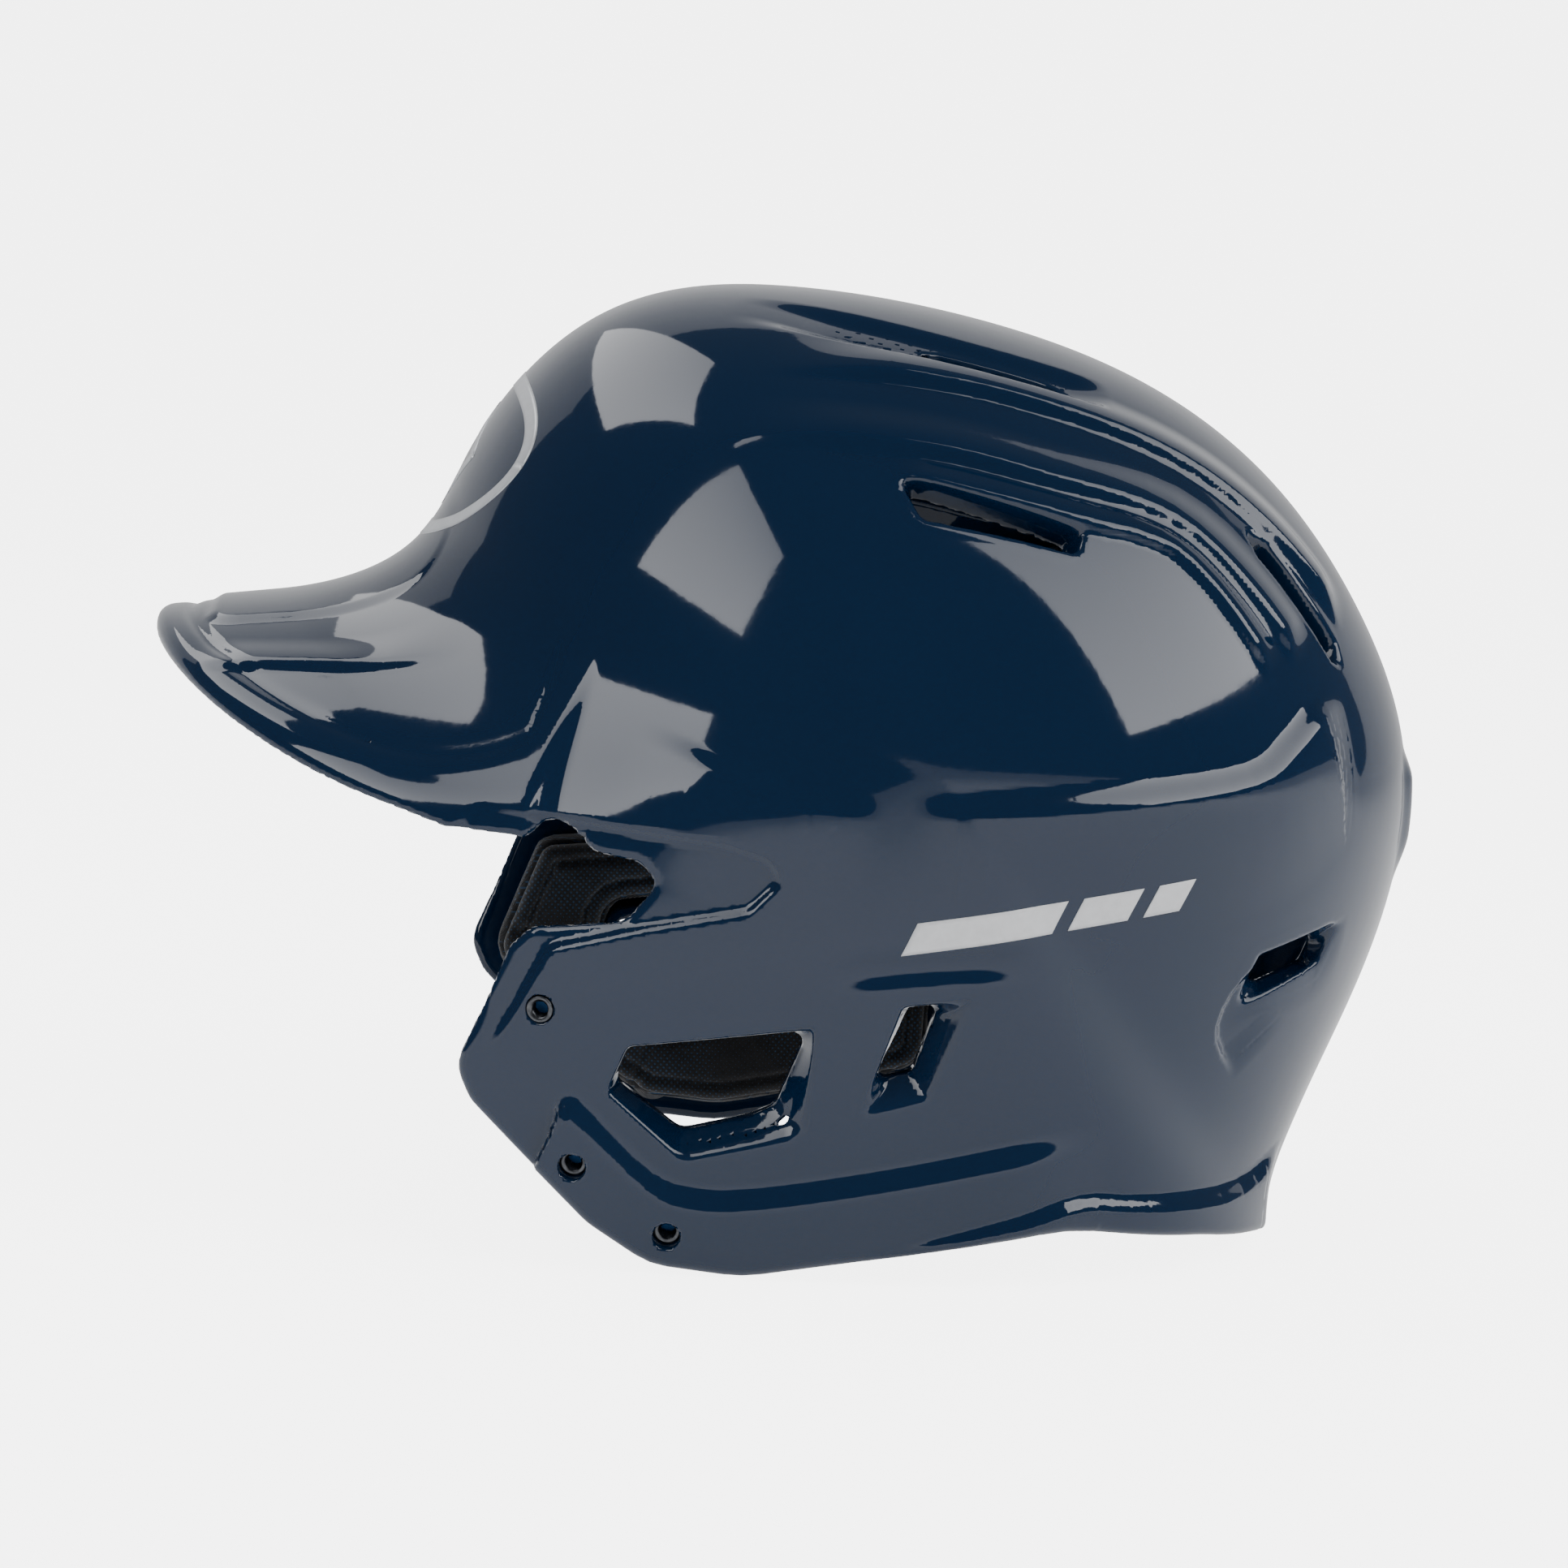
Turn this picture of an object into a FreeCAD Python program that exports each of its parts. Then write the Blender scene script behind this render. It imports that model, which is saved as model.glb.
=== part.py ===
"""A two-flap batting helmet: moulded shell with brim, foam pads, threaded face-guard inserts, decals.

Frame: +Z up, -Y towards the brim, X across the head. The helmet stands on z = 0, on its ear flaps
and its nape. The origin is at the middle of its length and width. Units are millimetres.
"""
import FreeCAD
import Part
import math
import os

V = FreeCAD.Vector
doc = FreeCAD.newDocument("batting_helmet")

# ---------------------------------------------------------------- driving dimensions
DIMENSIONS = {
    # the dome: centre of its side view, half width, and how the flank leans at the belly crease
    "centre_y": 26.0, "centre_z": 112.0, "half_width": 101.0,
    "crease_z": 69.7, "crease_rise": 0.21, "lean_below": 0.10, "lean_above": 0.03, "crease_round": 9.0,
    # plan roundness: 2 is an ellipse
    "roundness": 2.1, "cheek_square": 0.35, "nape_round": 0.35,
    # layers, counted inwards from the outside of the shell
    "wall": 3.4, "foam_outside": 3.7, "foam_inside": 11.6, "cover_outside": 11.8, "cover_inside": 16.8,
    # the brim: a curved plate, its centre line falling towards its tip
    "brim_tip_y": -146.0, "brim_tip_z": 129.2, "brim_slope": 8.4, "brim_wall": 3.4, "brim_lip": 6.5,
    "brim_drop": 0.0047, "brim_cheek_drop": 9.0, "brim_half_width": 88.0, "brim_side_y": -60.0,
    "brim_back_y": -44.0, "brim_length": 125.0, "lip_width": 3.2, "void_depth": 90.0, "void_length": 160.0,
    # lengths of the blocks that cut and bound the pieces
    "through": 260.0, "side_depth": 80.0, "pad_reach": 120.0, "front_reach": 90.0,
    # vents
    "vent_depth": 24.0, "crown_vent_length": 25.0, "crown_vent_width": 5.0, "flank_vent_length": 39.0,
    "flank_vent_width": 8.0, "back_vent_length": 34.0, "back_vent_width": 6.5,
    # face-guard inserts
    "insert_radius": 2.8, "thread_radius": 1.75, "insert_flange_radius": 5.6, "insert_flange": 1.2,
    "insert_length": 7.0, "insert_hole_radius": 3.0, "hole_depth": 12.0, "pocket_radius": 6.6, "pocket_depth": 12.0,
    # decals
    "decal_thickness": 0.25, "badge_z": 169.0, "badge_width": 86.0, "badge_height": 38.0, "badge_ring": 3.2,
}

dims = doc.addObject("Spreadsheet::Sheet", "dims")
for row, (alias, value) in enumerate(DIMENSIONS.items(), start=1):
    dims.set(f"A{row}", alias)
    dims.set(f"B{row}", str(value))
    dims.setAlias(f"B{row}", alias)
doc.recompute()


def dim(alias):
    """A driving dimension, read back from the sheet."""
    return float(dims.get(alias))


# ---------------------------------------------------------------- the form of the helmet
# Side profile on the mid-plane, (y, z) from the brim root over the crown to the nape. The points below
# the nape and in front of the face are where the form would run on, so that the flaps stay wide.
PROFILE = [
    (-86.5, 144.0), (-80.5, 162.0), (-67.5, 185.5), (-46.0, 204.0), (-7.0, 211.3), (36.5, 206.6),
    (76.5, 194.2), (107.0, 173.6), (129.4, 144.8), (141.5, 115.0), (142.5, 92.5), (133.0, 53.2),
    (121.5, 21.5), (118.0, 2.0), (118.0, -47.0), (26.0, -128.0), (-115.0, -56.0), (-151.0, 30.0),
    (-136.0, 80.0), (-109.0, 112.0), (-95.0, 129.0),
]


def periodic_spline(knots, values):
    """Second derivatives of the periodic cubic spline through (knots, values), which span 360 degrees."""
    n = len(knots)
    step = [(knots[(i + 1) % n] - knots[i]) % 360 for i in range(n)]
    slope = [(values[(i + 1) % n] - values[i]) / step[i] for i in range(n)]
    bend = [0.0] * n
    for _ in range(200):  # Gauss-Seidel: the system is diagonally dominant
        for i in range(n):
            known = step[i - 1] * bend[i - 1] + step[i] * bend[(i + 1) % n]
            bend[i] = (6 * (slope[i] - slope[i - 1]) - known) / (2 * (step[i - 1] + step[i]))
    return step, bend


CENTRE_Y, CENTRE_Z = dim("centre_y"), dim("centre_z")
POLAR = sorted(
    (math.degrees(math.atan2(z - CENTRE_Z, y - CENTRE_Y)) % 360, math.hypot(y - CENTRE_Y, z - CENTRE_Z))
    for y, z in PROFILE
)
KNOTS = [angle for angle, radius in POLAR]
RADII = [radius for angle, radius in POLAR]
STEPS, BENDS = periodic_spline(KNOTS, RADII)


def profile_radius(angle):
    """Distance from the dome's centre to the side profile, at an angle in degrees from +Y towards +Z."""
    n = len(KNOTS)
    i = max((k for k in range(n) if KNOTS[k] <= angle), default=n - 1)
    h = STEPS[i]
    t = (angle - KNOTS[i]) % 360
    a, b = (h - t) / h, t / h
    curve = ((a**3 - a) * BENDS[i] + (b**3 - b) * BENDS[(i + 1) % n]) * h * h / 6
    return a * RADII[i] + b * RADII[(i + 1) % n] + curve


def lobe(angle, peak):
    """A smooth bump around one direction of the side view."""
    return max(0.0, math.cos(math.radians(angle - peak))) ** 4


def flank(y, z):
    """Half width where the flank would be flat: widest at the crease, leaning in above and below it."""
    above = z - (dim("crease_z") + dim("crease_rise") * y)
    soft = math.hypot(above, dim("crease_round"))
    return dim("half_width") - dim("lean_below") * (soft - above) / 2 - dim("lean_above") * (soft + above) / 2


def form(x, y, z, inset):
    """Below 1 inside the helmet's form, inset by a distance, and above 1 outside it."""
    rho = math.hypot(y - CENTRE_Y, z - CENTRE_Z)
    angle = math.degrees(math.atan2(z - CENTRE_Z, y - CENTRE_Y)) % 360
    power = dim("roundness") + dim("cheek_square") * lobe(angle, 235) - dim("nape_round") * lobe(angle, 308)
    return (rho / (profile_radius(angle) - inset)) ** power + (x / (flank(y, z) - inset)) ** 2


def reach(origin, direction, inset, far=260.0):
    """Distance from a point inside the form to its surface along a direction."""
    low, high = 0.0, far
    while high - low > 1e-4:
        middle = (low + high) / 2
        p = origin + direction * middle
        low, high = (middle, high) if form(p.x, p.y, p.z, inset) < 1 else (low, middle)
    return low


def section(z, inset, points=40):
    """The form's closed horizontal outline at a height, as a smooth wire."""
    inside = V(0, -7 if z > 180 else CENTRE_Y, z)
    back = reach(inside, V(0, 1, 0), inset)
    front = reach(inside, V(0, -1, 0), inset)
    middle = V(0, inside.y + (back - front) / 2, z)
    half = []
    for i in range(points // 2 + 1):
        turn = 2 * math.pi * i / points
        way = V(math.sin(turn), -math.cos(turn), 0)
        half.append(middle + way * reach(middle, way, inset))
    half[0].x = half[-1].x = 0
    ring = half + [V(-p.x, p.y, p.z) for p in reversed(half[1:-1])]
    ring = ring[SEAM:] + ring[:SEAM]
    curve = Part.BSplineCurve()
    even = [i / points for i in range(points + 1)]
    curve.interpolate(Points=ring, PeriodicFlag=True, Parameters=even)
    return Part.Wire([curve.toShape()])


SEAM = 17  # the outlines start at the back left, between the rear pad and the vents
LEVELS = [-16, 2, 20, 38, 56, 74, 92, 110, 128, 146, 162, 176, 188, 198, 205, 209.4]


def solid_form(name, inset):
    """The closed body of the form at an inset: a loft through horizontal outlines up to the crown."""
    crown = 211.0 - inset
    levels = [z for z in LEVELS if z < crown - 1.2] + [crown]
    wires = [section(z, inset) for z in levels]
    made = doc.addObject("Part::Feature", name)
    made.Shape = Part.makeLoft(wires, True, False)
    return made


def surface_point(y, z, side):
    """The point of the outer surface at a side-view position, on one side, and the outward normal there."""
    inside = V(0, y, z)
    point = inside + V(side, 0, 0) * reach(inside, V(side, 0, 0), 0)
    return point, outward(point)


def outward(point):
    """The outward normal of the outer surface at a point."""
    small = 0.05
    slopes = []
    for axis in (V(small, 0, 0), V(0, small, 0), V(0, 0, small)):
        ahead, behind = point + axis, point - axis
        slopes.append(form(ahead.x, ahead.y, ahead.z, 0) - form(behind.x, behind.y, behind.z, 0))
    return V(*slopes).normalize()


# ---------------------------------------------------------------- building blocks
SIDE_VIEW = FreeCAD.Rotation(V(0, 1, 0), V(0, 0, 1), V(1, 0, 0), "ZXY")    # draws (y, z), faces +X
BACK_VIEW = FreeCAD.Rotation(V(-1, 0, 0), V(0, 0, 1), V(0, 1, 0), "ZXY")   # draws (-x, z), faces +Y
TOP_VIEW = FreeCAD.Rotation()                                             # draws (x, y), faces +Z


def outline(name, corners, radius, view, at):
    """A sketch of a closed outline with rounded corners. A corner may carry a radius of its own."""
    sketch = doc.addObject("Sketcher::SketchObject", name)
    n = len(corners)
    arcs = []
    for i in range(n):
        before, corner, after = (V(*corners[(i + k) % n][:2], 0) for k in (-1, 0, 1))
        r = corners[i][2] if len(corners[i]) > 2 else radius
        into, out = (corner - before).normalize(), (after - corner).normalize()
        half_turn = into.getAngle(out) / 2
        cut = r * math.tan(half_turn)
        inward = (out - into).normalize()
        middle = corner + inward * (r / math.cos(half_turn) - r)
        arcs.append((corner - into * cut, middle, corner + out * cut))
    for i in range(n):
        start, middle, end = arcs[i]
        sketch.addGeometry(Part.Arc(start, middle, end), False)
        sketch.addGeometry(Part.LineSegment(end, arcs[(i + 1) % n][0]), False)
    sketch.Placement = FreeCAD.Placement(at, view)
    return sketch


def prism(name, sketch, length="dims.through"):
    """A sketch extruded along its own normal by a length from the sheet."""
    made = doc.addObject("Part::Extrusion", name)
    made.Base = sketch
    made.DirMode = "Normal"
    made.Solid = True
    made.setExpression("LengthFwd", length)
    return made


def cut(name, base, tool):
    made = doc.addObject("Part::Cut", name)
    made.Base, made.Tool = base, tool
    return made


def common(name, base, tool):
    made = doc.addObject("Part::Common", name)
    made.Base, made.Tool = base, tool
    return made


def fuse(name, *parts):
    made = doc.addObject("Part::MultiFuse", name)
    made.Shapes = list(parts)
    return made


def mirrored(name, source):
    """The same piece on the other side of the head."""
    made = doc.addObject("Part::Mirroring", name)
    made.Source = source
    made.Normal = V(1, 0, 0)
    return made


def cylinder(name, radius, height, base, axis):
    """A cylinder whose sizes come from the sheet, standing at a point along an axis."""
    made = doc.addObject("Part::Cylinder", name)
    made.setExpression("Radius", radius)
    made.setExpression("Height", height)
    made.Placement = FreeCAD.Placement(base, FreeCAD.Rotation(V(0, 0, 1), axis))
    return made


# ---------------------------------------------------------------- brim
def brim_drop(x):
    """How far the brim falls away from its centre line at a distance across."""
    return dim("brim_drop") * x * x + dim("brim_cheek_drop") * (abs(x) / 90) ** 10


def arch(z, name, y, thickness):
    """The brim's arched cross-section, from its top surface down by a thickness."""
    across = [-96 + 8 * i for i in range(25)]
    top = [V(x, y, z - brim_drop(x)) for x in across]
    low = [p - V(0, 0, thickness) for p in top]
    curves = []
    for line in (top, low):
        curve = Part.BSplineCurve()
        curve.interpolate(line)
        curves.append(curve.toShape())
    ends = [Part.LineSegment(low[i], top[i]).toShape() for i in (0, -1)]
    made = doc.addObject("Part::Feature", name)
    made.Shape = Part.Face(Part.Wire([curves[0], ends[1], curves[1], ends[0]]))
    return made


def sweep_brim(name, profile, length):
    """An arched section extruded backwards along the brim's slope."""
    slope = math.radians(dim("brim_slope"))
    made = doc.addObject("Part::Extrusion", name)
    made.Base = profile
    made.DirMode = "Custom"
    made.Dir = V(0, math.cos(slope), math.sin(slope))
    made.Solid = True
    made.setExpression("LengthFwd", length)
    return made


def brim_plan(name, inset):
    """The brim seen from above, an inset in from its edge, as a tall prism."""
    tip, half, root = dim("brim_tip_y") + inset, dim("brim_half_width") - inset, dim("brim_side_y")
    points = []
    for i in range(25):
        turn = math.radians(-90 + 7.5 * i)
        across = math.copysign(abs(math.sin(turn)) ** 0.95, math.sin(turn)) * half
        points.append(V(across, root + (tip - root) * abs(math.cos(turn)) ** 0.95, 70))
    curve = Part.BSplineCurve()
    curve.interpolate(points)
    back = [V(half - 30, dim("brim_back_y"), 70), V(30 - half, dim("brim_back_y"), 70)]
    lines = [(points[-1], back[0]), (back[0], back[1]), (back[1], points[0])]
    edges = [curve.toShape()] + [Part.LineSegment(a, b).toShape() for a, b in lines]
    face = doc.addObject("Part::Feature", name + "_outline")
    face.Shape = Part.Face(Part.Wire(edges))
    made = doc.addObject("Part::Extrusion", name)
    made.Base = face
    made.DirMode = "Custom"
    made.Dir = V(0, 0, 1)
    made.Solid = True
    made.LengthFwd = 90
    return made


def make_brim():
    """The brim plate, with a deeper lip all round its edge."""
    tip_y, tip_z = dim("brim_tip_y") - 4, dim("brim_tip_z")
    sheet = sweep_brim("brim_sheet", arch(tip_z, "brim_arch", tip_y, dim("brim_wall")), "dims.brim_length")
    plate = common("brim_plate", sheet, brim_plan("brim_plan", 0))
    deep = sweep_brim("lip_sheet", arch(tip_z, "lip_arch", tip_y, dim("brim_lip")), "dims.brim_length")
    edge = cut("lip_band", brim_plan("lip_plan", 0), brim_plan("lip_plan_inner", dim("lip_width")))
    lip = common("brim_lip_ring", deep, edge)
    return fuse("brim", plate, lip)


def make_face_void():
    """The space under the brim: everything below its arch, in front of the temples."""
    y, top = dim("brim_tip_y") - 60, dim("brim_tip_z") - 56 * math.tan(math.radians(dim("brim_slope")))
    profile = arch(top - dim("brim_wall"), "void_arch", y, dim("void_depth"))
    floor = outline("void_floor", [(-260, 82), (-260, 200), (-46, 200), (-46, 78)], 1, SIDE_VIEW, V(-130, 0, 0))
    return common("face_void", sweep_brim("void_sheet", profile, "dims.void_length"), prism("void_slab", floor))


# ---------------------------------------------------------------- shell
SIDE_OUTLINE = [
    (-63.4, 92.9, 14), (-35.5, 89.4, 3.2), (-32.0, 85.6, 2.2), (-38.0, 77.8, 5), (-57.5, 75.0, 5),
    (-62.0, 70.5, 5), (-72.0, 43.0, 8), (-68.5, 35.5, 8), (-42.0, 10.2, 16), (-28.0, 1.6, 16),
    (-8.0, 0.0, 30), (33.4, 8.2, 40), (61.8, 13.4, 40), (94.3, 9.0, 40), (112.3, 4.4, 20),
    (125.0, -3.0, 4), (190.0, -3.0), (190.0, 250.0), (-190.0, 250.0), (-190.0, 84.0),
]
EAR_HOLE = [
    (-35.2, 50.2, 2.4), (3.6, 56.6, 2.4), (-3.2, 38.4, 4), (-8.6, 35.6, 4), (-22.6, 31.4, 4),
    (-37.6, 42.0, 3),
]
SLOT = [(23.6, 62.8, 1.2), (30.6, 64.0, 1.2), (25.6, 47.4, 3), (16.6, 44.6, 2)]
REAR_VENT = [(99.0, 63.6, 2.5), (102.4, 73.6, 2.5), (117.4, 77.8, 2.5), (114.0, 67.8, 2.5)]


def grown(corners, amount):
    """An outline pushed outwards all round, its corner radii grown to match."""
    n = len(corners)
    area = sum(a[0] * b[1] - b[0] * a[1] for a, b in zip(corners, corners[1:] + corners[:1]))
    side = 1 if area > 0 else -1
    result = []
    for i in range(n):
        before, corner, after = (V(*corners[(i + k) % n][:2], 0) for k in (-1, 0, 1))
        into, out = (corner - before).normalize(), (after - corner).normalize()
        into_side, out_side = (V(d.y * side, -d.x * side, 0) for d in (into, out))
        shift = (into_side + out_side) * (amount / (1 + into_side.dot(out_side)))
        result.append((corner.x + shift.x, corner.y + shift.y, corners[i][2] + amount))
    return result


def side_opening(name, corners, growth=0.0, start=60.0, length="dims.side_depth"):
    """A hole's outline on the left flank, extruded outwards from inside the helmet."""
    shape = grown(corners, growth) if growth else corners
    return prism(name, outline(name + "_outline", shape, 2, SIDE_VIEW, V(start, 0, 0)), length)


def vent(name, point, normal, along, length_alias, width_alias):
    """A straight slot through the shell with round ends, lying along a direction on its surface."""
    half = dim(length_alias) / 2
    wide = dim(width_alias) / 2
    across = normal.cross(along).normalize()
    lengthways = across.cross(normal).normalize()
    corners = [(-half, -wide), (half, -wide), (half, wide), (-half, wide)]
    turned = FreeCAD.Rotation(lengthways, across, normal, "ZXY")
    sketch = outline(name + "_outline", corners, wide * 0.9, turned, point - normal * 12)
    return prism(name, sketch, "dims.vent_depth")


def make_vents():
    """Three slots on each side of the crown: beside its middle, high on the flank, and at the back."""
    vents = []
    for name, aim, along in (
        ("crown_vent", V(43, 10, 85), V(0, 1.0, -0.20)),
        ("flank_vent", V(81, 9, 54), V(0, 1.0, -0.19)),
        ("back_vent", V(52, 80, 39), V(-0.08, 0.62, -0.77)),
    ):
        centre = V(0, CENTRE_Y, CENTRE_Z)
        way = V(aim.x, aim.y, aim.z).normalize()
        point = centre + way * reach(centre, way, 0)
        vents.append(vent(name, point, outward(point), along, name + "_length", name + "_width"))
    return vents


def make_shell(outer, inner, within, insert_holes):
    """The moulded shell: dome and brim, hollowed, trimmed and pierced, with a flange round each ear hole."""
    body = cut("hollow_body", fuse("dome_and_brim", outer, make_brim()), inner)
    trim = prism("trim_slab", outline("trim_outline", SIDE_OUTLINE, 3, SIDE_VIEW, V(-130, 0, 0)))
    body = cut("open_body", common("trimmed_body", body, trim), make_face_void())
    holes = [side_opening("ear_hole", EAR_HOLE), side_opening("rear_slot", SLOT)]
    holes.append(side_opening("rear_vent", REAR_VENT, 0.0, 50.0))
    holes += make_vents()
    left = fuse("left_holes", *holes)
    body = cut("pierced_body", body, fuse("all_holes", left, mirrored("right_holes", left)))
    body = cut("drilled_body", body, insert_holes)
    block = common("ear_flange_block", side_opening("ear_flange", EAR_HOLE, 3.0, 88.0), within)
    flange = cut("ear_flange_ring", block, side_opening("ear_flange_hole", EAR_HOLE))
    return fuse("shell", body, flange, mirrored("ear_flange_right", flange))


# ---------------------------------------------------------------- face-guard inserts
INSERT_PLACES = [(-54.6, 57.2), (-45.5, 23.5), (-24.6, 9.4)]


def make_insert(name, y, z, side):
    """A flanged nut: its barrel fills the hole in the wall, its flange bears on the wall's inside."""
    point, normal = surface_point(y, z, side)
    barrel = cylinder(name + "_barrel", "dims.insert_radius", "dims.insert_length",
                      point - normal * dim("insert_length"), normal)
    flange = cylinder(name + "_flange", "dims.insert_flange_radius", "dims.insert_flange",
                      point - normal * (dim("wall") + 0.3 + dim("insert_flange")), normal)
    bore = cylinder(name + "_bore", "dims.thread_radius", "dims.insert_length + 2",
                    point - normal * (dim("insert_length") + 1), normal)
    return cut(name, fuse(name + "_blank", barrel, flange), bore)


def insert_clearance(name, y, z, side, radius, depth):
    """The room an insert needs in another piece."""
    point, normal = surface_point(y, z, side)
    return cylinder(name, radius, depth, point - normal * dim(depth.replace("dims.", "")) + normal * 3, normal)


# ---------------------------------------------------------------- pads
# Each pad is a firm foam block behind a soft comfort pad. Regions are drawn in the view named.
SIDE_PADS = {
    "temple": [(-66, 112, 8), (-58, 148, 10), (-26, 162, 10), (-14, 152, 10), (-18, 104, 8), (-50, 100, 8)],
    "rear_side": [(34, 96, 8), (36, 146, 12), (76, 152, 14), (98, 126, 10), (98, 92, 8)],
    "ear": [
        (-29, 84, 4), (-34, 72, 5), (-56, 70, 5), (-66, 43, 7), (-63, 38, 7), (-39, 14.5, 12),
        (-27, 7, 12), (-8, 5.4, 20), (30, 13, 20), (44, 19, 8), (46, 84, 10),
    ],
}
CENTRE_PADS = {
    "front": ([(-50, 148, 9), (50, 148, 9), (42, 182, 12), (-42, 182, 12)], "front"),
    "crown": ([(-27, -34, 12), (27, -34, 12), (24, 62, 12), (-24, 62, 12)], "top"),
    "rear": ([(-34, 74, 9), (34, 74, 9), (38, 128, 12), (-38, 128, 12)], "back"),
    "nape": ([(-44, 16, 7), (44, 16, 7), (40, 52, 8), (-40, 52, 8)], "back"),
}


def pad_region(name, corners, view, growth):
    """The block of space that a pad's outline sweeps, growing or shrinking the outline."""
    shape = grown(corners, growth) if growth else corners
    if view == "side":
        sketch = outline(name + "_outline", shape, 5, SIDE_VIEW, V(16, 0, 0))
    elif view == "top":
        sketch = outline(name + "_outline", shape, 5, TOP_VIEW, V(0, 0, 120))
    elif view == "back":
        sketch = outline(name + "_outline", shape, 5, BACK_VIEW, V(0, 40, 0))
    else:
        sketch = outline(name + "_outline", shape, 5, BACK_VIEW, V(0, -150, 0))
    return prism(name, sketch, "dims.pad_reach")


def make_pads(layers, clearances, ear_clear):
    """Foam block and comfort pad of every pad; side pads are mirrored to the right."""
    pieces = []
    everything = [(n, c, "side") for n, c in SIDE_PADS.items()]
    everything += [(n, c, v) for n, (c, v) in CENTRE_PADS.items()]
    for name, corners, view in everything:
        for kind, growth in (("foam", 0.0), ("pad", -1.0)):
            stem = f"{name}_{kind}"
            last = "left_" + stem if view == "side" else stem
            region = pad_region(stem + "_region", corners, view, growth)
            if name == "ear":
                piece = common("ear_block_" + kind, layers[kind], region)
                piece = cut("ear_ring_" + kind, piece, ear_clear)
                piece = cut(last, piece, clearances)
            else:
                piece = common(last, layers[kind], region)
            pieces.append(piece)
            if view == "side":
                pieces.append(mirrored("right_" + stem, piece))
    return pieces


# ---------------------------------------------------------------- decals
STRIPES = [
    [(20.5, 74.0), (52.5, 79.8), (55.5, 87.0), (23.5, 81.2)],
    [(56.0, 80.4), (69.0, 82.8), (72.0, 90.0), (59.0, 87.6)],
    [(72.5, 83.4), (80.5, 84.9), (83.5, 92.1), (75.5, 90.6)],
]


def film(name, marks, over, under):
    """A thin film on the outer surface, shaped by the marks cut through it."""
    return cut(name, common(name + "_blank", over, marks), under)


def oval_prism(name, margin):
    """An oval block through the forehead, smaller than the badge by a margin all round."""
    oval = doc.addObject("Part::Ellipse", name + "_outline")
    oval.setExpression("MajorRadius", f"dims.badge_width / 2 - {margin}")
    oval.setExpression("MinorRadius", f"dims.badge_height / 2 - {margin}")
    oval.Placement = FreeCAD.Placement(V(0, -130, dim("badge_z")), BACK_VIEW)
    return prism(name, oval, "dims.front_reach")


def make_decals(over, under):
    """Thin film marks on the outer surface: an oval badge in front, stripes on the sides, a bar behind."""
    ring = cut("badge_ring_slab", oval_prism("badge_slab", "0"), oval_prism("badge_hole", "dims.badge_ring"))
    middle = dim("badge_z")
    diamond = outline("badge_diamond", [(0, middle - 12), (16, middle), (0, middle + 12), (-16, middle)], 1.5,
                      BACK_VIEW, V(0, -130, 0))
    marks = fuse("badge_marks", ring, prism("badge_diamond_slab", diamond, "dims.front_reach"))
    front = film("front_badge", marks, over, under)
    bars = [prism(f"stripe_{i}", outline(f"stripe_{i}_outline", corners, 0.8, SIDE_VIEW, V(20, 0, 0)))
            for i, corners in enumerate(STRIPES, start=1)]
    left = film("left_stripes", fuse("stripe_blocks", *bars), over, under)
    tag = outline("rear_tag", [(-11, 33), (11, 33), (11, 41), (-11, 41)], 2, BACK_VIEW, V(0, 60, 0))
    rear = film("rear_badge", prism("rear_tag_slab", tag), over, under)
    return [front, left, mirrored("right_stripes", left), rear]


# ---------------------------------------------------------------- the whole helmet
def build():
    outer = solid_form("outer_form", 0)
    inner = solid_form("inner_form", dim("wall"))
    foam = cut("foam_layer", solid_form("foam_outer_form", dim("foam_outside")),
               solid_form("foam_inner_form", dim("foam_inside")))
    cover = cut("pad_layer", solid_form("pad_outer_form", dim("cover_outside")),
                solid_form("pad_inner_form", dim("cover_inside")))

    inserts, rooms, pockets = [], [], []
    for side, word in ((1, "left"), (-1, "right")):
        made = []
        for i, (y, z) in enumerate(INSERT_PLACES, start=1):
            name = f"{word}_insert_{i}"
            made.append(make_insert(name, y, z, side))
            rooms.append(insert_clearance(name + "_hole", y, z, side, "dims.insert_hole_radius", "dims.hole_depth"))
            if side == 1:
                pockets.append(insert_clearance(name + "_pocket", y, z, side, "dims.pocket_radius",
                                                "dims.pocket_depth"))
        group = doc.addObject("Part::Compound", word + "_guard_inserts")
        group.Links = made
        inserts.append(group)

    within = solid_form("flange_form", 0.6)
    shell = make_shell(outer, inner, within, fuse("insert_holes", *rooms))
    ear_clear = fuse("ear_room", side_opening("ear_hole_room", EAR_HOLE, 4.5, 30.0, "dims.pad_reach"),
                     side_opening("slot_room", SLOT, 1.5, 30.0, "dims.pad_reach"))
    pads = make_pads({"foam": foam, "pad": cover}, fuse("insert_pockets", *pockets), ear_clear)
    return [shell] + inserts + pads + make_decals(solid_form("film_form", -dim("decal_thickness")), outer)


def check(pieces):
    """Stop before anything is written if an object failed or a piece isn't a sound solid."""
    for item in doc.Objects:
        if "Invalid" in item.State or "Error" in item.State:
            raise RuntimeError(f"{item.Label} failed: {item.State}")
    for piece in pieces:
        shape = piece.Shape
        if shape.isNull() or not shape.isValid() or not shape.Solids:
            raise RuntimeError(f"{piece.Label} has no sound solid")


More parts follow.
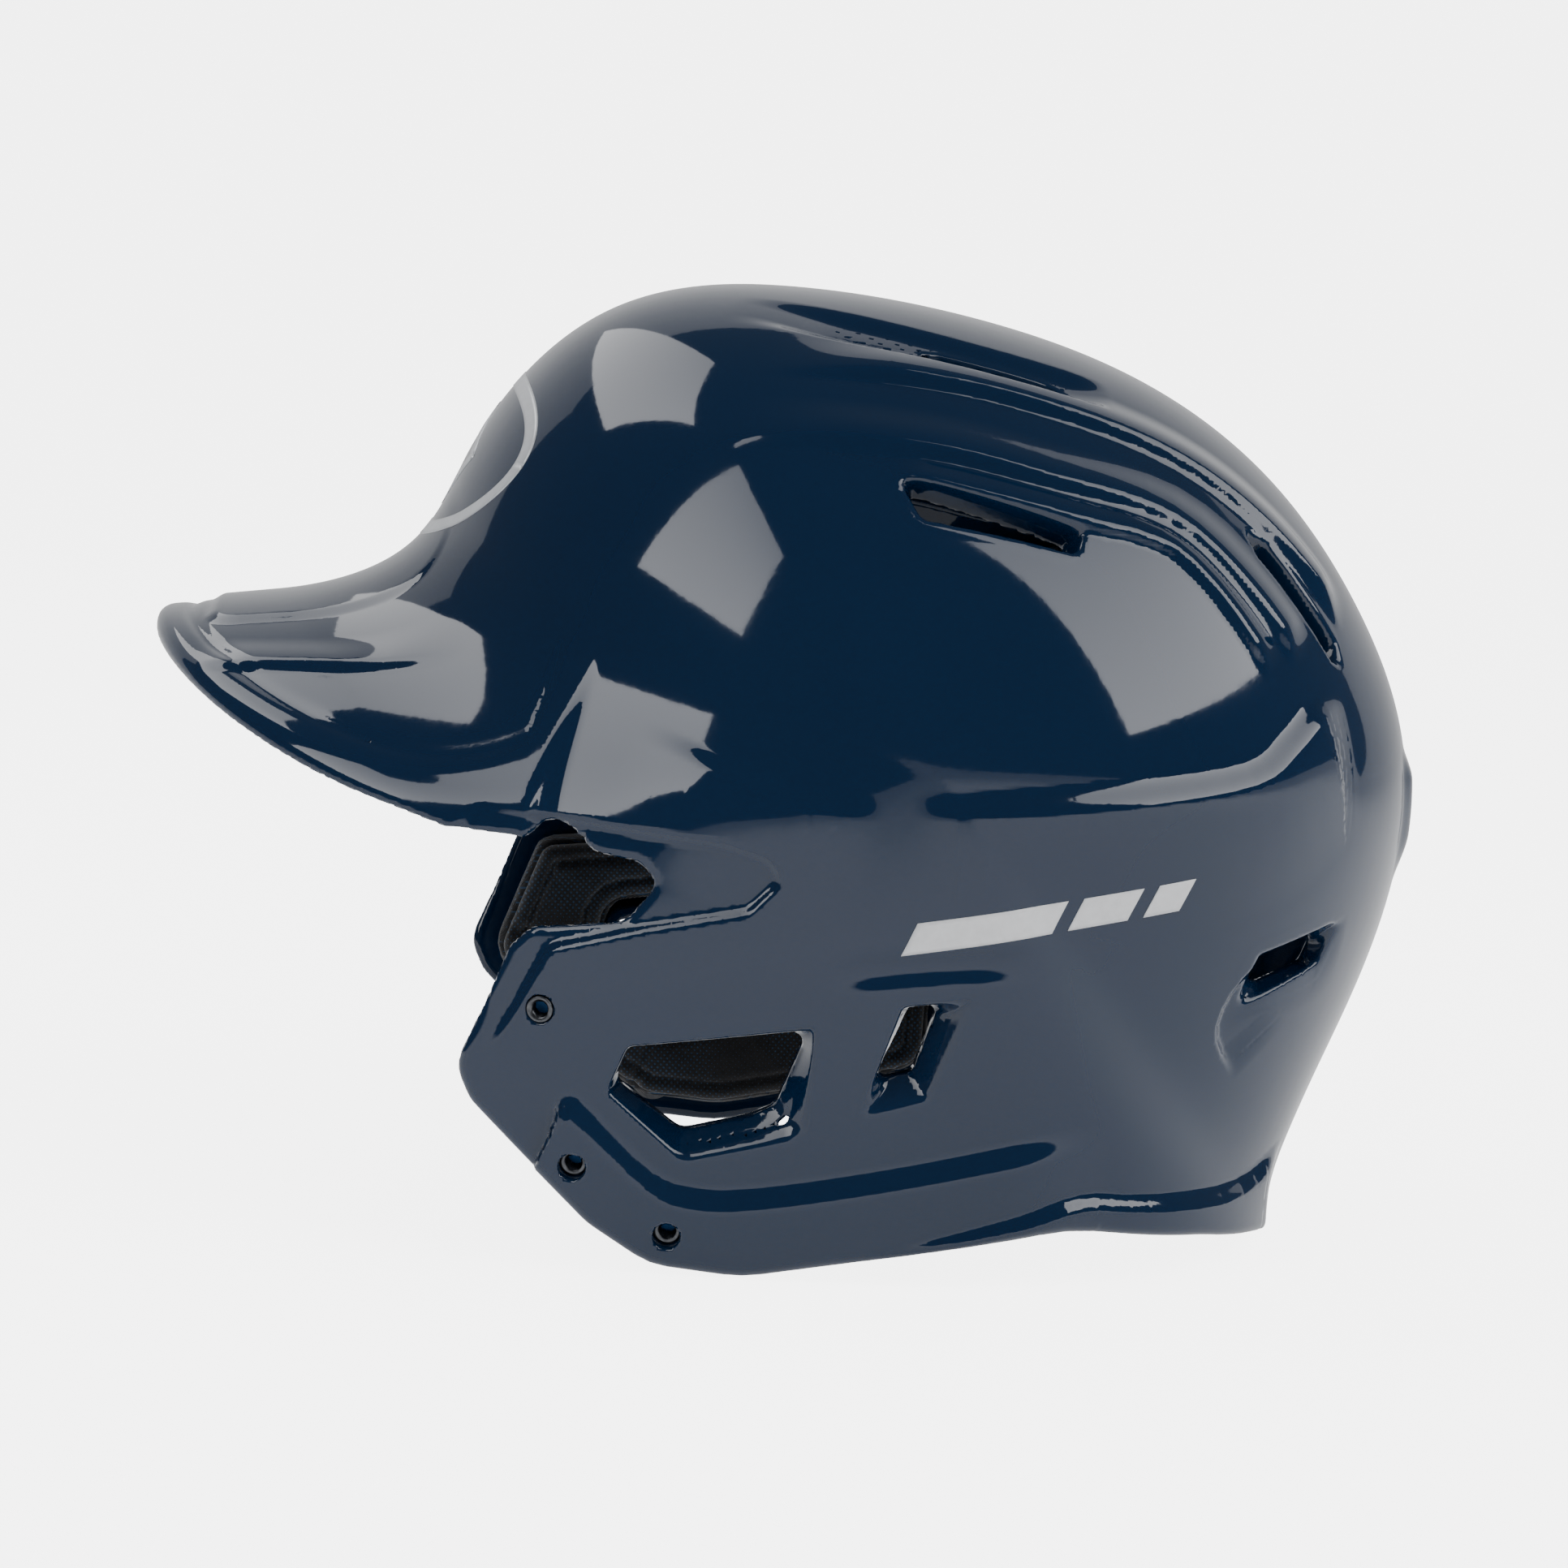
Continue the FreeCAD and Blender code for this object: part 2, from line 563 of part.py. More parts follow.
pieces = build()
doc.recompute()
check(pieces)
os.makedirs("parts", exist_ok=True)
for piece in pieces:
    box = piece.Shape.BoundBox
    print(f"{piece.Label:22s} solids {len(piece.Shape.Solids)}  volume {piece.Shape.Volume / 1000:8.2f} cm3  "
          f"x {box.XMin:7.1f}..{box.XMax:6.1f}  y {box.YMin:7.1f}..{box.YMax:6.1f}  z {box.ZMin:6.1f}..{box.ZMax:6.1f}")
    piece.Shape.exportStep(f"parts/{piece.Label}.step")
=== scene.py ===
"""The looks of the batting helmet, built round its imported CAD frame.

Everything is worked out in millimetres in the CAD frame (+Z up, -Y towards the brim, +X the wearer's
left) and put into Blender in metres. The shell and the pads are implicit solids turned into meshes.
"""
import math

import bmesh
import bpy
import numpy as np
from mathutils import Matrix, Vector


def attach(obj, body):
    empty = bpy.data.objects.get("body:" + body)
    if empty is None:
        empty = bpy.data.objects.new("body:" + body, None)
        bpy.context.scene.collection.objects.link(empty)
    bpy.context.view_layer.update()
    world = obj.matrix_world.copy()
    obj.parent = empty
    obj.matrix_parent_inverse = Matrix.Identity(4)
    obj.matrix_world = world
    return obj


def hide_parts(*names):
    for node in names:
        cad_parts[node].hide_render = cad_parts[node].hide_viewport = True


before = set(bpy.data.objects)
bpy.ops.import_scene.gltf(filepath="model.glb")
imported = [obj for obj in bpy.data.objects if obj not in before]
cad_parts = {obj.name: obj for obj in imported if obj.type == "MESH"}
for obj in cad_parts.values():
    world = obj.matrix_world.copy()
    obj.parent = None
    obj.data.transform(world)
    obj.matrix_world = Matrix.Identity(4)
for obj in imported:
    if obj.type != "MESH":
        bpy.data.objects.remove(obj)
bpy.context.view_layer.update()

MM = 0.001

# ================================================================ the form of the helmet
CENTRE_Y, CENTRE_Z = 26.0, 112.0
WALL = 3.4
PROFILE = [
    (-86.5, 144.0), (-80.5, 162.0), (-67.5, 185.5), (-46.0, 204.0), (-7.0, 211.3), (36.5, 206.6),
    (76.5, 194.2), (107.0, 173.6), (129.4, 144.8), (141.5, 115.0), (142.5, 92.5), (133.0, 53.2),
    (121.5, 21.5), (118.0, 2.0), (118.0, -47.0), (26.0, -128.0), (-115.0, -56.0), (-151.0, 30.0),
    (-136.0, 80.0), (-109.0, 112.0), (-95.0, 129.0),
]


def profile_table():
    """The side profile's radius and its slope round the dome's centre, from a closed cubic spline."""
    points = np.array(PROFILE) - (CENTRE_Y, CENTRE_Z)
    angle = np.degrees(np.arctan2(points[:, 1], points[:, 0])) % 360
    order = np.argsort(angle)
    angle, radius = angle[order], np.hypot(points[:, 0], points[:, 1])[order]
    n = len(angle)
    step = (np.roll(angle, -1) - angle) % 360
    slope = (np.roll(radius, -1) - radius) / step
    system, known = np.zeros((n, n)), np.zeros(n)
    for i in range(n):
        system[i, i - 1] += step[i - 1]
        system[i, i] += 2 * (step[i - 1] + step[i])
        system[i, (i + 1) % n] += step[i]
        known[i] = 6 * (slope[i] - slope[i - 1])
    bend = np.linalg.solve(system, known)
    turn = np.linspace(0, 360, 3601)
    i = (np.searchsorted(angle, turn, side="right") - 1) % n
    j = (i + 1) % n
    along = (turn - angle[i]) % 360
    a, b = (step[i] - along) / step[i], along / step[i]
    r = a * radius[i] + b * radius[j] + ((a**3 - a) * bend[i] + (b**3 - b) * bend[j]) * step[i] ** 2 / 6
    return turn, r, np.gradient(r, np.radians(turn))


TURN, RADIUS, RADIUS_SLOPE = profile_table()


def flank(y, z):
    """Half width where the flank is flat: widest at the crease, leaning in above and below it."""
    above = z - (69.7 + 0.21 * y)
    soft = np.hypot(above, 5.0)
    return 101.0 - 0.10 * (soft - above) / 2 - 0.03 * (soft + above) / 2


def form(p, inset=0.0):
    """Signed distance, near enough, from the dome's surface moved inwards by an inset."""
    x, y, z = np.abs(p[:, 0]), p[:, 1], p[:, 2]
    dy, dz = y - CENTRE_Y, z - CENTRE_Z
    rho = np.hypot(dy, dz) + 1e-6
    angle = np.degrees(np.arctan2(dz, dy)) % 360
    r = np.interp(angle, TURN, RADIUS) - inset
    lean = np.interp(angle, TURN, RADIUS_SLOPE) / r
    cheek = np.maximum(0, np.cos(np.radians(angle - 235))) ** 4
    nape = np.maximum(0, np.cos(np.radians(angle - 308))) ** 4
    power = 2.1 + 0.35 * cheek - 0.35 * nape
    w = flank(y, z) - inset
    a = (rho / r) ** power
    f = a + (x / w) ** 2
    g = np.sqrt((power * a / rho) ** 2 * (1 + lean**2) + (2 * x / w**2) ** 2) + 1e-9
    q = np.sqrt(f)
    return 2 * q * (q - 1) / g


def form_normal(p):
    return gradient(form, p, 0.1)


def gradient(field, p, h=0.05):
    """Unit gradient of a field at each point."""
    g = np.empty_like(p)
    for axis in range(3):
        step = np.zeros(3)
        step[axis] = h
        g[:, axis] = field(p + step) - field(p - step)
    return g / (np.linalg.norm(g, axis=1, keepdims=True) + 1e-12)


def on_flank(points):
    """Side-view points (y, z) lifted onto the left side of the dome."""
    q = np.array([(70.0, y, z) for y, z in points])
    for _ in range(12):
        d = form(q)
        slope = (form(q + (0.1, 0, 0)) - d) / 0.1
        q[:, 0] -= np.clip(d / np.maximum(slope, 0.15), -20, 20)
        q[:, 0] = np.clip(q[:, 0], 2, 110)
    return q


# ================================================================ soft joins and flat outlines
def smax(a, b, r):
    """The larger of two fields, with the corner between them rounded."""
    h = np.maximum(r - np.abs(a - b), 0)
    return np.maximum(a, b) + h * h / (4 * r)


def smin(a, b, r):
    return -smax(-a, -b, r)


def smooth(t):
    t = np.clip(t, 0, 1)
    return t * t * (3 - 2 * t)


def rounded(corners, radius=2.0):
    """A closed outline with rounded corners, as a polyline. A corner may carry its own radius."""
    n, line = len(corners), []
    for i in range(n):
        before, corner, after = (np.array(corners[(i + k) % n][:2], float) for k in (-1, 0, 1))
        r = corners[i][2] if len(corners[i]) > 2 else radius
        into = (corner - before) / np.linalg.norm(corner - before)
        out = (after - corner) / np.linalg.norm(after - corner)
        half = math.acos(float(np.clip(into @ out, -1, 1))) / 2
        cut = r * math.tan(half)
        start, end = corner - into * cut, corner + out * cut
        inward = (out - into) / (np.linalg.norm(out - into) + 1e-9)
        hub = corner + inward * (r / math.cos(half))
        steps = max(2, int(half / 0.12))
        for k in range(steps + 1):
            t = k / steps
            ray = (start - hub) * math.sin((1 - t) * 2 * half) + (end - hub) * math.sin(t * 2 * half)
            line.append(hub + ray / math.sin(2 * half) if half > 1e-3 else start)
    return np.array(line)


class Outline:
    """Signed distance to a closed flat outline, negative inside, kept on a grid."""

    def __init__(self, corners, radius=2.0, margin=30.0, step=0.5, line=None):
        line = rounded(corners, radius) if line is None else line
        self.low, self.step = line.min(0) - margin, step
        size = np.ceil((line.max(0) + margin - self.low) / step).astype(int) + 1
        u = self.low[0] + np.arange(size[0]) * step
        v = self.low[1] + np.arange(size[1]) * step
        gu, gv = np.meshgrid(u, v, indexing="ij")
        best = np.full(gu.shape, 1e9)
        odd = np.zeros(gu.shape, bool)
        for a, b in zip(line, np.roll(line, -1, axis=0)):
            e = b - a
            length = e @ e
            if length < 1e-12:
                continue
            wu, wv = gu - a[0], gv - a[1]
            t = np.clip((wu * e[0] + wv * e[1]) / length, 0, 1)
            best = np.minimum(best, (wu - t * e[0]) ** 2 + (wv - t * e[1]) ** 2)
            if a[1] != b[1]:
                crosses = (a[1] > gv) != (b[1] > gv)
                odd ^= crosses & (gu < a[0] + (gv - a[1]) * e[0] / e[1])
        self.grid = np.where(odd, -1, 1) * np.sqrt(best)

    def __call__(self, u, v):
        i = np.clip((u - self.low[0]) / self.step, 0, self.grid.shape[0] - 1.001)
        j = np.clip((v - self.low[1]) / self.step, 0, self.grid.shape[1] - 1.001)
        i0, j0 = i.astype(int), j.astype(int)
        fi, fj = i - i0, j - j0
        g = self.grid
        low = g[i0, j0] * (1 - fi) + g[i0 + 1, j0] * fi
        high = g[i0, j0 + 1] * (1 - fi) + g[i0 + 1, j0 + 1] * fi
        return low * (1 - fj) + high * fj


def nearest(p, line):
    """Signed distance beside a line on the surface, distance along it, and its whole length."""
    best = np.full(len(p), 1e9)
    side_distance, along = np.zeros(len(p)), np.zeros(len(p))
    start = 0.0
    middles = (line[:-1] + line[1:]) / 2
    normals = form_normal(middles)
    for a, b, n in zip(line[:-1], line[1:], normals):
        e = b - a
        length = np.linalg.norm(e)
        e = e / length
        side = np.cross(n, e)
        side /= np.linalg.norm(side)
        w = p - a
        t = w @ e
        held = np.clip(t, 0, length)
        away = w - held[:, None] * e
        away -= (away @ n)[:, None] * n
        d = np.einsum("ij,ij->i", away, away)
        closer = d < best
        s = w @ side
        side_distance = np.where(closer, np.sign(s) * np.sqrt(d), side_distance)
        along = np.where(closer, start + held, along)
        best = np.minimum(best, d)
        start += length
    return side_distance, along, start


def flowing(points, parts=4):
    """More points along a line, on a smooth curve through the given ones."""
    p = np.array(points, float)
    p = np.vstack([2 * p[0] - p[1], p, 2 * p[-1] - p[-2]])
    line = []
    for a, b, c, d in zip(p, p[1:], p[2:], p[3:]):
        for t in np.arange(parts) / parts:
            bend = a - 2.5 * b + 2 * c - d / 2
            twist = 1.5 * (b - c) + (d - a) / 2
            line.append(b + (c - a) * t / 2 + bend * t**2 + twist * t**3)
    return np.array(line + [p[-2]])


def onto_form(points):
    """Points moved straight onto the dome's surface."""
    for _ in range(4):
        points = points - form_normal(points) * form(points)[:, None]
    return points


class Ledge:
    """A raised step along a line on the surface: proud on one side of it, fading away from it.

    The proud side lies to the left of the line as it runs, seen from outside."""

    def __init__(self, line, rise, width, fade, ends=(12, 12), flank=True):
        self.line = on_flank(flowing(line)) if flank else onto_form(flowing(line))
        self.rise, self.width, self.fade, self.ends = rise, width, fade, ends
        reach = max(width, abs(fade)) + 8
        self.low, self.high = self.line.min(0) - reach, self.line.max(0) + reach

    def __call__(self, p):
        h = np.zeros(len(p))
        near = np.all((p > self.low) & (p < self.high), axis=1)
        if not near.any():
            return h
        s, along, length = nearest(p[near], self.line)
        up = smooth(s / self.width + 0.5)
        down = 1 - smooth((s - self.width / 2) / self.fade)
        ends = smooth(along / self.ends[0]) * smooth((length - along) / self.ends[1])
        h[near] = self.rise * up * down * ends
        return h


class Groove(Ledge):
    """A channel along a line, as deep as its rise is negative, with soft sides."""

    def __call__(self, p):
        h = np.zeros(len(p))
        near = np.all((p > self.low) & (p < self.high), axis=1)
        if not near.any():
            return h
        s, along, length = nearest(p[near], self.line)
        across = np.abs(s) / self.width
        ends = smooth(along / self.ends[0]) * smooth((length - along) / self.ends[1])
        h[near] = self.rise * (1 - smooth((across - self.fade) / (1 - self.fade))) * ends
        return h


# ================================================================ brim
BRIM_ROOT, BRIM_TIP, BRIM_HALF = -60.0, -146.0, 88.0
BRIM_WALL, LIP = 3.4, 2.6
SLOPE = math.tan(math.radians(8.4))


def brim_top(x, y):
    """Height of the brim's upper surface: an arch across, sloping down to the tip."""
    x = np.abs(x)
    return 129.2 + (y + 150.0) * SLOPE - 0.0047 * x * x - 9.0 * (x / 90.0) ** 10


def brim_edge(x, y):
    """Signed distance inwards from the brim's edge in plan, negative on the brim."""
    x = np.abs(x)
    u, v = x / BRIM_HALF, np.maximum(BRIM_ROOT - y, 0) / (BRIM_ROOT - BRIM_TIP)
    q = (u**2.1 + v**2.1) ** (1 / 2.1) + 1e-9
    front = (1 - 1 / q) * np.hypot(x, BRIM_ROOT - y)
    back = x - (BRIM_HALF - np.maximum(y - BRIM_ROOT, 0) * 1.6)
    return np.where(y < BRIM_ROOT, front, back)


PANEL = Outline([(-30, -80), (30, -80), (26, -133, 7), (-26, -133, 7)], 9, margin=60)


def brim_relief(x, y, edge):
    """Raised middle panel, a ridge along each side, and the bead round the edge."""
    ax = np.abs(x)
    panel = 1.3 * smooth(0.5 - PANEL(x, y) / 3.4)
    ridge_x = 47 + (y + 134) * 0.20
    ridge = 1.5 * smooth((ridge_x - ax) / 3.5 + 0.5) * (1 - smooth((ridge_x - ax) / 13))
    ridge = ridge * smooth((y + 137) / 14) * (1 - smooth((y + 92) / 20))
    bead = -0.7 * np.exp(-(((edge + 7.5) / 1.7) ** 2))
    return panel + ridge + bead


def brim(p):
    x, y, z = p[:, 0], p[:, 1], p[:, 2]
    top, edge = brim_top(x, y), brim_edge(x, y)
    across = 0.0094 * np.abs(x) + (np.abs(x) / 90.0) ** 9
    norm = np.sqrt(1 + across**2 + SLOPE**2)
    deep = BRIM_WALL + LIP * smooth((edge + 5.0) / 3.0)
    up = (z - top - brim_relief(x, y, edge)) / norm
    low = (top - deep - z) / norm
    return smax(smax(up, low, 2.2), edge, 3.0)


def under_brim(p):
    """The space below the brim's arch, in front of the temples: negative where the face is."""
    x, y, z = p[:, 0], p[:, 1], p[:, 2]
    edge = brim_edge(x, y)
    deep = BRIM_WALL + LIP * smooth((edge + 5.0) / 3.0)
    across = 0.0094 * np.abs(x) + (np.abs(x) / 90.0) ** 9
    roof = (z - brim_top(x, y) + deep) / np.sqrt(1 + across**2 + SLOPE**2)
    return smax(smax(roof, y + 46.0, 3.0), 79.0 - 0.15 * (-46 - y) - z, 3.0)


# ================================================================ openings
TRIM = Outline([
    (-63.4, 92.9, 14), (-35.5, 89.4, 3.2), (-32.0, 85.6, 2.2), (-38.0, 77.8, 5), (-57.5, 75.0, 5),
    (-62.0, 70.5, 5), (-72.0, 43.0, 8), (-68.5, 35.5, 8), (-42.0, 10.2, 16), (-28.0, 1.6, 16),
    (-8.0, 0.0, 30), (33.4, 8.2, 40), (61.8, 13.4, 40), (94.3, 9.0, 40), (112.3, 4.4, 20),
    (125.0, -3.0, 4), (190.0, -3.0, 3), (190.0, 250.0, 3), (-190.0, 250.0, 3), (-190.0, 84.0, 3),
], margin=4, step=0.6)


class Window:
    """A hole through the flank with sloping sides: one outline at the surface, a smaller one inside."""

    def __init__(self, outer, inner, depth, flange, lip=1.0):
        self.outer, self.inner = Outline(outer, margin=14, step=0.4), Outline(inner, margin=14, step=0.4)
        self.depth, self.flange, self.lip = depth, flange, lip
        self.low, self.high = self.outer.low + 1, np.array(outer)[:, :2].max(0) + 13

    def near(self, p):
        y, z = p[:, 1], p[:, 2]
        inside = (y > self.low[0]) & (y < self.high[0]) & (z > self.low[1]) & (z < self.high[1])
        return inside & (np.abs(p[:, 0]) > 40)

    def cut(self, d, skin, p):
        """Add the flange behind the wall, then take the hole out of it."""
        near = self.near(p)
        if not near.any():
            return d
        y, z, depth, solid = p[near, 1], p[near, 2], -skin[near], d[near]
        wide, narrow = self.outer(y, z), self.inner(y, z)
        share = np.clip(depth / self.depth, 0, 1)
        hole = wide * (1 - share) + narrow * share
        slant = np.sqrt(1 + ((wide - narrow) / self.depth) ** 2 * (share < 1) * (share > 0))
        hole = hole / slant
        ring = smax(smax(narrow - 3.2, depth - self.flange, 1.5), 1.5 - depth, 0.5)
        solid = smin(solid, ring, 2.0)
        d = d.copy()
        d[near] = smax(solid, -hole, self.lip)
        return d


EAR_HOLE = Window(
    [(-39.4, 40.4, 1.5), (-35.6, 50.6, 1.5), (3.6, 57.2, 1.2),
     (3.0, 34.6, 3), (0.0, 32.2, 2), (-22.6, 26.0, 4)],
    [(-37.6, 42.0, 3), (-35.0, 49.8, 2.0), (2.6, 55.6, 2.2),
     (-3.2, 38.4, 4), (-8.6, 35.6, 4), (-22.8, 31.4, 4)],
    6.5, 11.0)
SLOT = Window(
    [(14.6, 38.2, 1.5), (21.6, 62.8, 1.2), (36.6, 64.9, 0.8), (28.6, 42.6, 2.0)],
    [(17.2, 45.4, 1.5), (23.6, 62.4, 1.5), (30.0, 63.4, 2.0), (25.4, 47.8, 2.0)],
    5.5, 10.0)
REAR_VENT = Window(
    [(97.2, 60.6, 1.5), (101.4, 73.6, 1.5), (121.5, 79.8, 1.2), (117.5, 70.0, 2)],
    [(99.6, 64.6, 2), (102.6, 72.8, 2), (117.0, 77.2, 2), (114.2, 69.2, 2)],
    5.0, 8.0)


class Vent:
    """A long slot at a place on the crown, in a frame of its own, with a pocket sloping down into it."""

    def __init__(self, centre, along, outer, inner, depth=7.0, lip=1.2):
        at = np.array([centre], float)
        for _ in range(6):
            at = at - form_normal(at) * form(at)[:, None]
        self.at, self.up = at[0], form_normal(at)[0]
        across = np.cross(self.up, along)
        self.across = across / np.linalg.norm(across)
        self.along = np.cross(self.across, self.up)
        self.outer = Outline(outer, 1.5, margin=12, step=0.4)
        self.inner = Outline(inner, 1.5, margin=12, step=0.4)
        self.depth, self.lip = depth, lip

    def cut(self, d, skin, p):
        w = p - self.at
        near = np.einsum("ij,ij->i", w, w) < 38.0**2
        if not near.any():
            return d
        u, v, depth = w[near] @ self.along, w[near] @ self.across, -skin[near]
        share = np.clip(depth / self.depth, 0, 1)
        wide, narrow = self.outer(u, v), self.inner(u, v)
        hole = wide * (1 - share) + narrow * share
        slant = np.sqrt(1 + ((wide - narrow) / self.depth) ** 2 * (share < 1) * (share > 0))
        tube = smax(smax(narrow - 2.6, depth - 7.5, 1.5), 1.0 - depth, 0.5)
        solid = smin(d[near], tube, 1.5)
        d = d.copy()
        d[near] = smax(solid, -hole / slant, self.lip)
        return d


# u runs backwards along the vent; v is positive towards the middle of the crown
VENTS = [
    Vent((43, 37, 197), (0, 1, -0.2), [(-17, 1.5), (-12, -2.8), (13, -2.8), (19, 0), (13, 2.8), (-12, 2.8)],
         [(-12, -1.9), (12, -1.6), (12, 1.7), (-12, 2.1)], lip=2.2),
    Vent((81, 35, 166), (0, 1, -0.19), [(-21, 4.6, 1), (-14.5, -4.4, 3), (20, -2.9, 2), (20.4, 3.2, 1)],
         [(-18.5, 3.6, 1), (-13, -3.0, 3), (17, -2.2, 1), (17.4, 2.0, 1)]),
    Vent((52, 106, 151), (-0.08, 0.62, -0.77),
         [(-20, 0.5), (-13, -3.6), (16, -3.2), (19, -0.5), (15, 2.6), (-12, 3.2)],
         [(-13, -2.2), (14, -2.0), (13.5, 1.4), (-12, 1.8)]),
]

INSERTS = [(-54.6, 57.2), (-45.5, 23.5), (-24.6, 9.4)]


def insert_frames():
    """Mouth and outward direction of each left-hand insert."""
    points = on_flank(INSERTS)
    return list(zip(points, form_normal(points)))


INSERT_FRAMES = insert_frames()

# ================================================================ relief on the outside
# A line that runs backwards raises what is above it, and one that runs forwards what is below it.
RELIEF = [
    # belt: the band below it stands proud
    Ledge([(118, 130), (110, 127.5), (103, 121), (94, 114.6), (68, 110.5), (42, 107.6), (20, 105.6)],
          2.6, 6.0, 30, (18, 26)),
    Ledge([(16, 104.4), (-4, 106.4), (-14, 109.6), (-26, 114.0), (-38, 118)], 1.3, 5.0, 26, (20, 22)),
    # lower flap: the rim below it stands proud
    Ledge([(70, 35.5), (48, 30.5), (20, 24), (-6, 18.8), (-19, 18), (-29, 21.3), (-46, 36.2), (-52, 38)],
          2.7, 7.0, 60, (26, 7)),
    # the rolled lip along the bottom of the neck
    Ledge([(118, 24), (104, 17.5), (80, 18.5), (64, 19.8), (50, 16.0), (24, 8.0), (6, 3.5)],
          2.2, 4.5, 60, (16, 30)),
    # rear panel beside the rear vent: what lies behind it is raised
    Ledge([(124, 80), (102, 71), (94, 57), (100, 44)], -1.5, 3.0, 18, (12, 10)),
    # crown: two long steps that run back from the forehead, each with the middle of the crown proud
    Ledge([(57, -16, 193), (56, 23, 192), (55, 50, 187), (52, 78, 178), (49, 99, 164), (44, 119, 143)],
          2.6, 4.0, 15, (34, 14), flank=False),
    Ledge([(70, -26, 177), (73, 21, 178), (73, 49, 173), (68, 75, 166), (67, 92, 152), (66, 106, 136)],
          2.2, 4.0, 12, (34, 10), flank=False),
    Ledge([(79, 12, 172), (78, 54, 165), (75, 67, 162.5), (73, 79, 157), (73, 99, 134)],
          1.8, 3.2, 8, (10, 9), flank=False),
    # channel beside the middle of the crown, with the crown vent in it
    Groove([(30, -22, 207), (39, 12, 202), (42, 38, 197), (40, 64, 191)],
           -2.2, 9.0, 0.35, (30, 10), flank=False),
    # small dent above the slot
    Groove([(2, 68), (28, 72), (52, 73.5)], -1.1, 5.0, 0.1, (16, 16)),
]
NOTCH = Outline([
    (-70, 99, 3), (-18, 95.0, 5), (-9, 92.6, 4), (-5.5, 88.6, 3), (-12, 81.6, 4), (-34, 76.4, 8),
    (-53.5, 70.8, 5), (-66.5, 43, 6), (-63, 37.5, 6), (-49, 26, 20), (-66, 24, 3), (-90, 40, 3), (-90, 80, 3),
], margin=25)


def relief(p):
    """Height of the outside's small relief above the dome's plain surface."""
    q = p.copy()
    q[:, 0] = np.abs(q[:, 0])
    h = np.zeros(len(p))
    for line in RELIEF:
        h += line(q)
    side = smooth((q[:, 0] - 60) / 12) * smooth((q[:, 2] - 44) / 14) * (q[:, 1] < -2)
    h -= 1.5 * smooth(0.5 - NOTCH(q[:, 1], q[:, 2]) / 2.6) * side
    # boss at the back of the head, just below the widest line
    high = smooth((116 - q[:, 2]) / 8) * smooth((q[:, 2] - 84) / 12)
    h += 1.6 * smooth((26 - q[:, 0]) / 6) * high * (q[:, 1] > 90)
    return h


def skin(p):
    """Signed distance to the shell's outside: dome, relief and brim, softly joined."""
    dome = form(p)
    near = np.abs(dome) < 9
    raised = dome.copy()
    raised[near] -= relief(p[near])
    join = 12 + 12 * np.exp(-((p[:, 0] / 50) ** 2))
    return smin(raised, brim(p), join)


def shell(p):
    """The whole shell, negative in the plastic."""
    outside = skin(p)
    d = smax(outside, -form(p, WALL), 1.0)
    d = smax(d, TRIM(p[:, 1], p[:, 2]), 2.6)
    d = smax(d, -under_brim(p), 2.4)
    for window in (EAR_HOLE, SLOT, REAR_VENT):
        d = window.cut(d, outside, p)
    q = p.copy()
    q[:, 0] = np.abs(q[:, 0])
    for vent in VENTS:
        d = vent.cut(d, outside, q)
    for at, way in INSERT_FRAMES:
        w = q - at
        deep = w @ way
        off = np.sqrt(np.maximum(np.einsum("ij,ij->i", w, w) - deep**2, 0))
        hole = np.maximum(off - 2.95, np.abs(deep) - 12)
        d = np.where(off < 8, smax(d, -hole, 0.6), d)
    return d


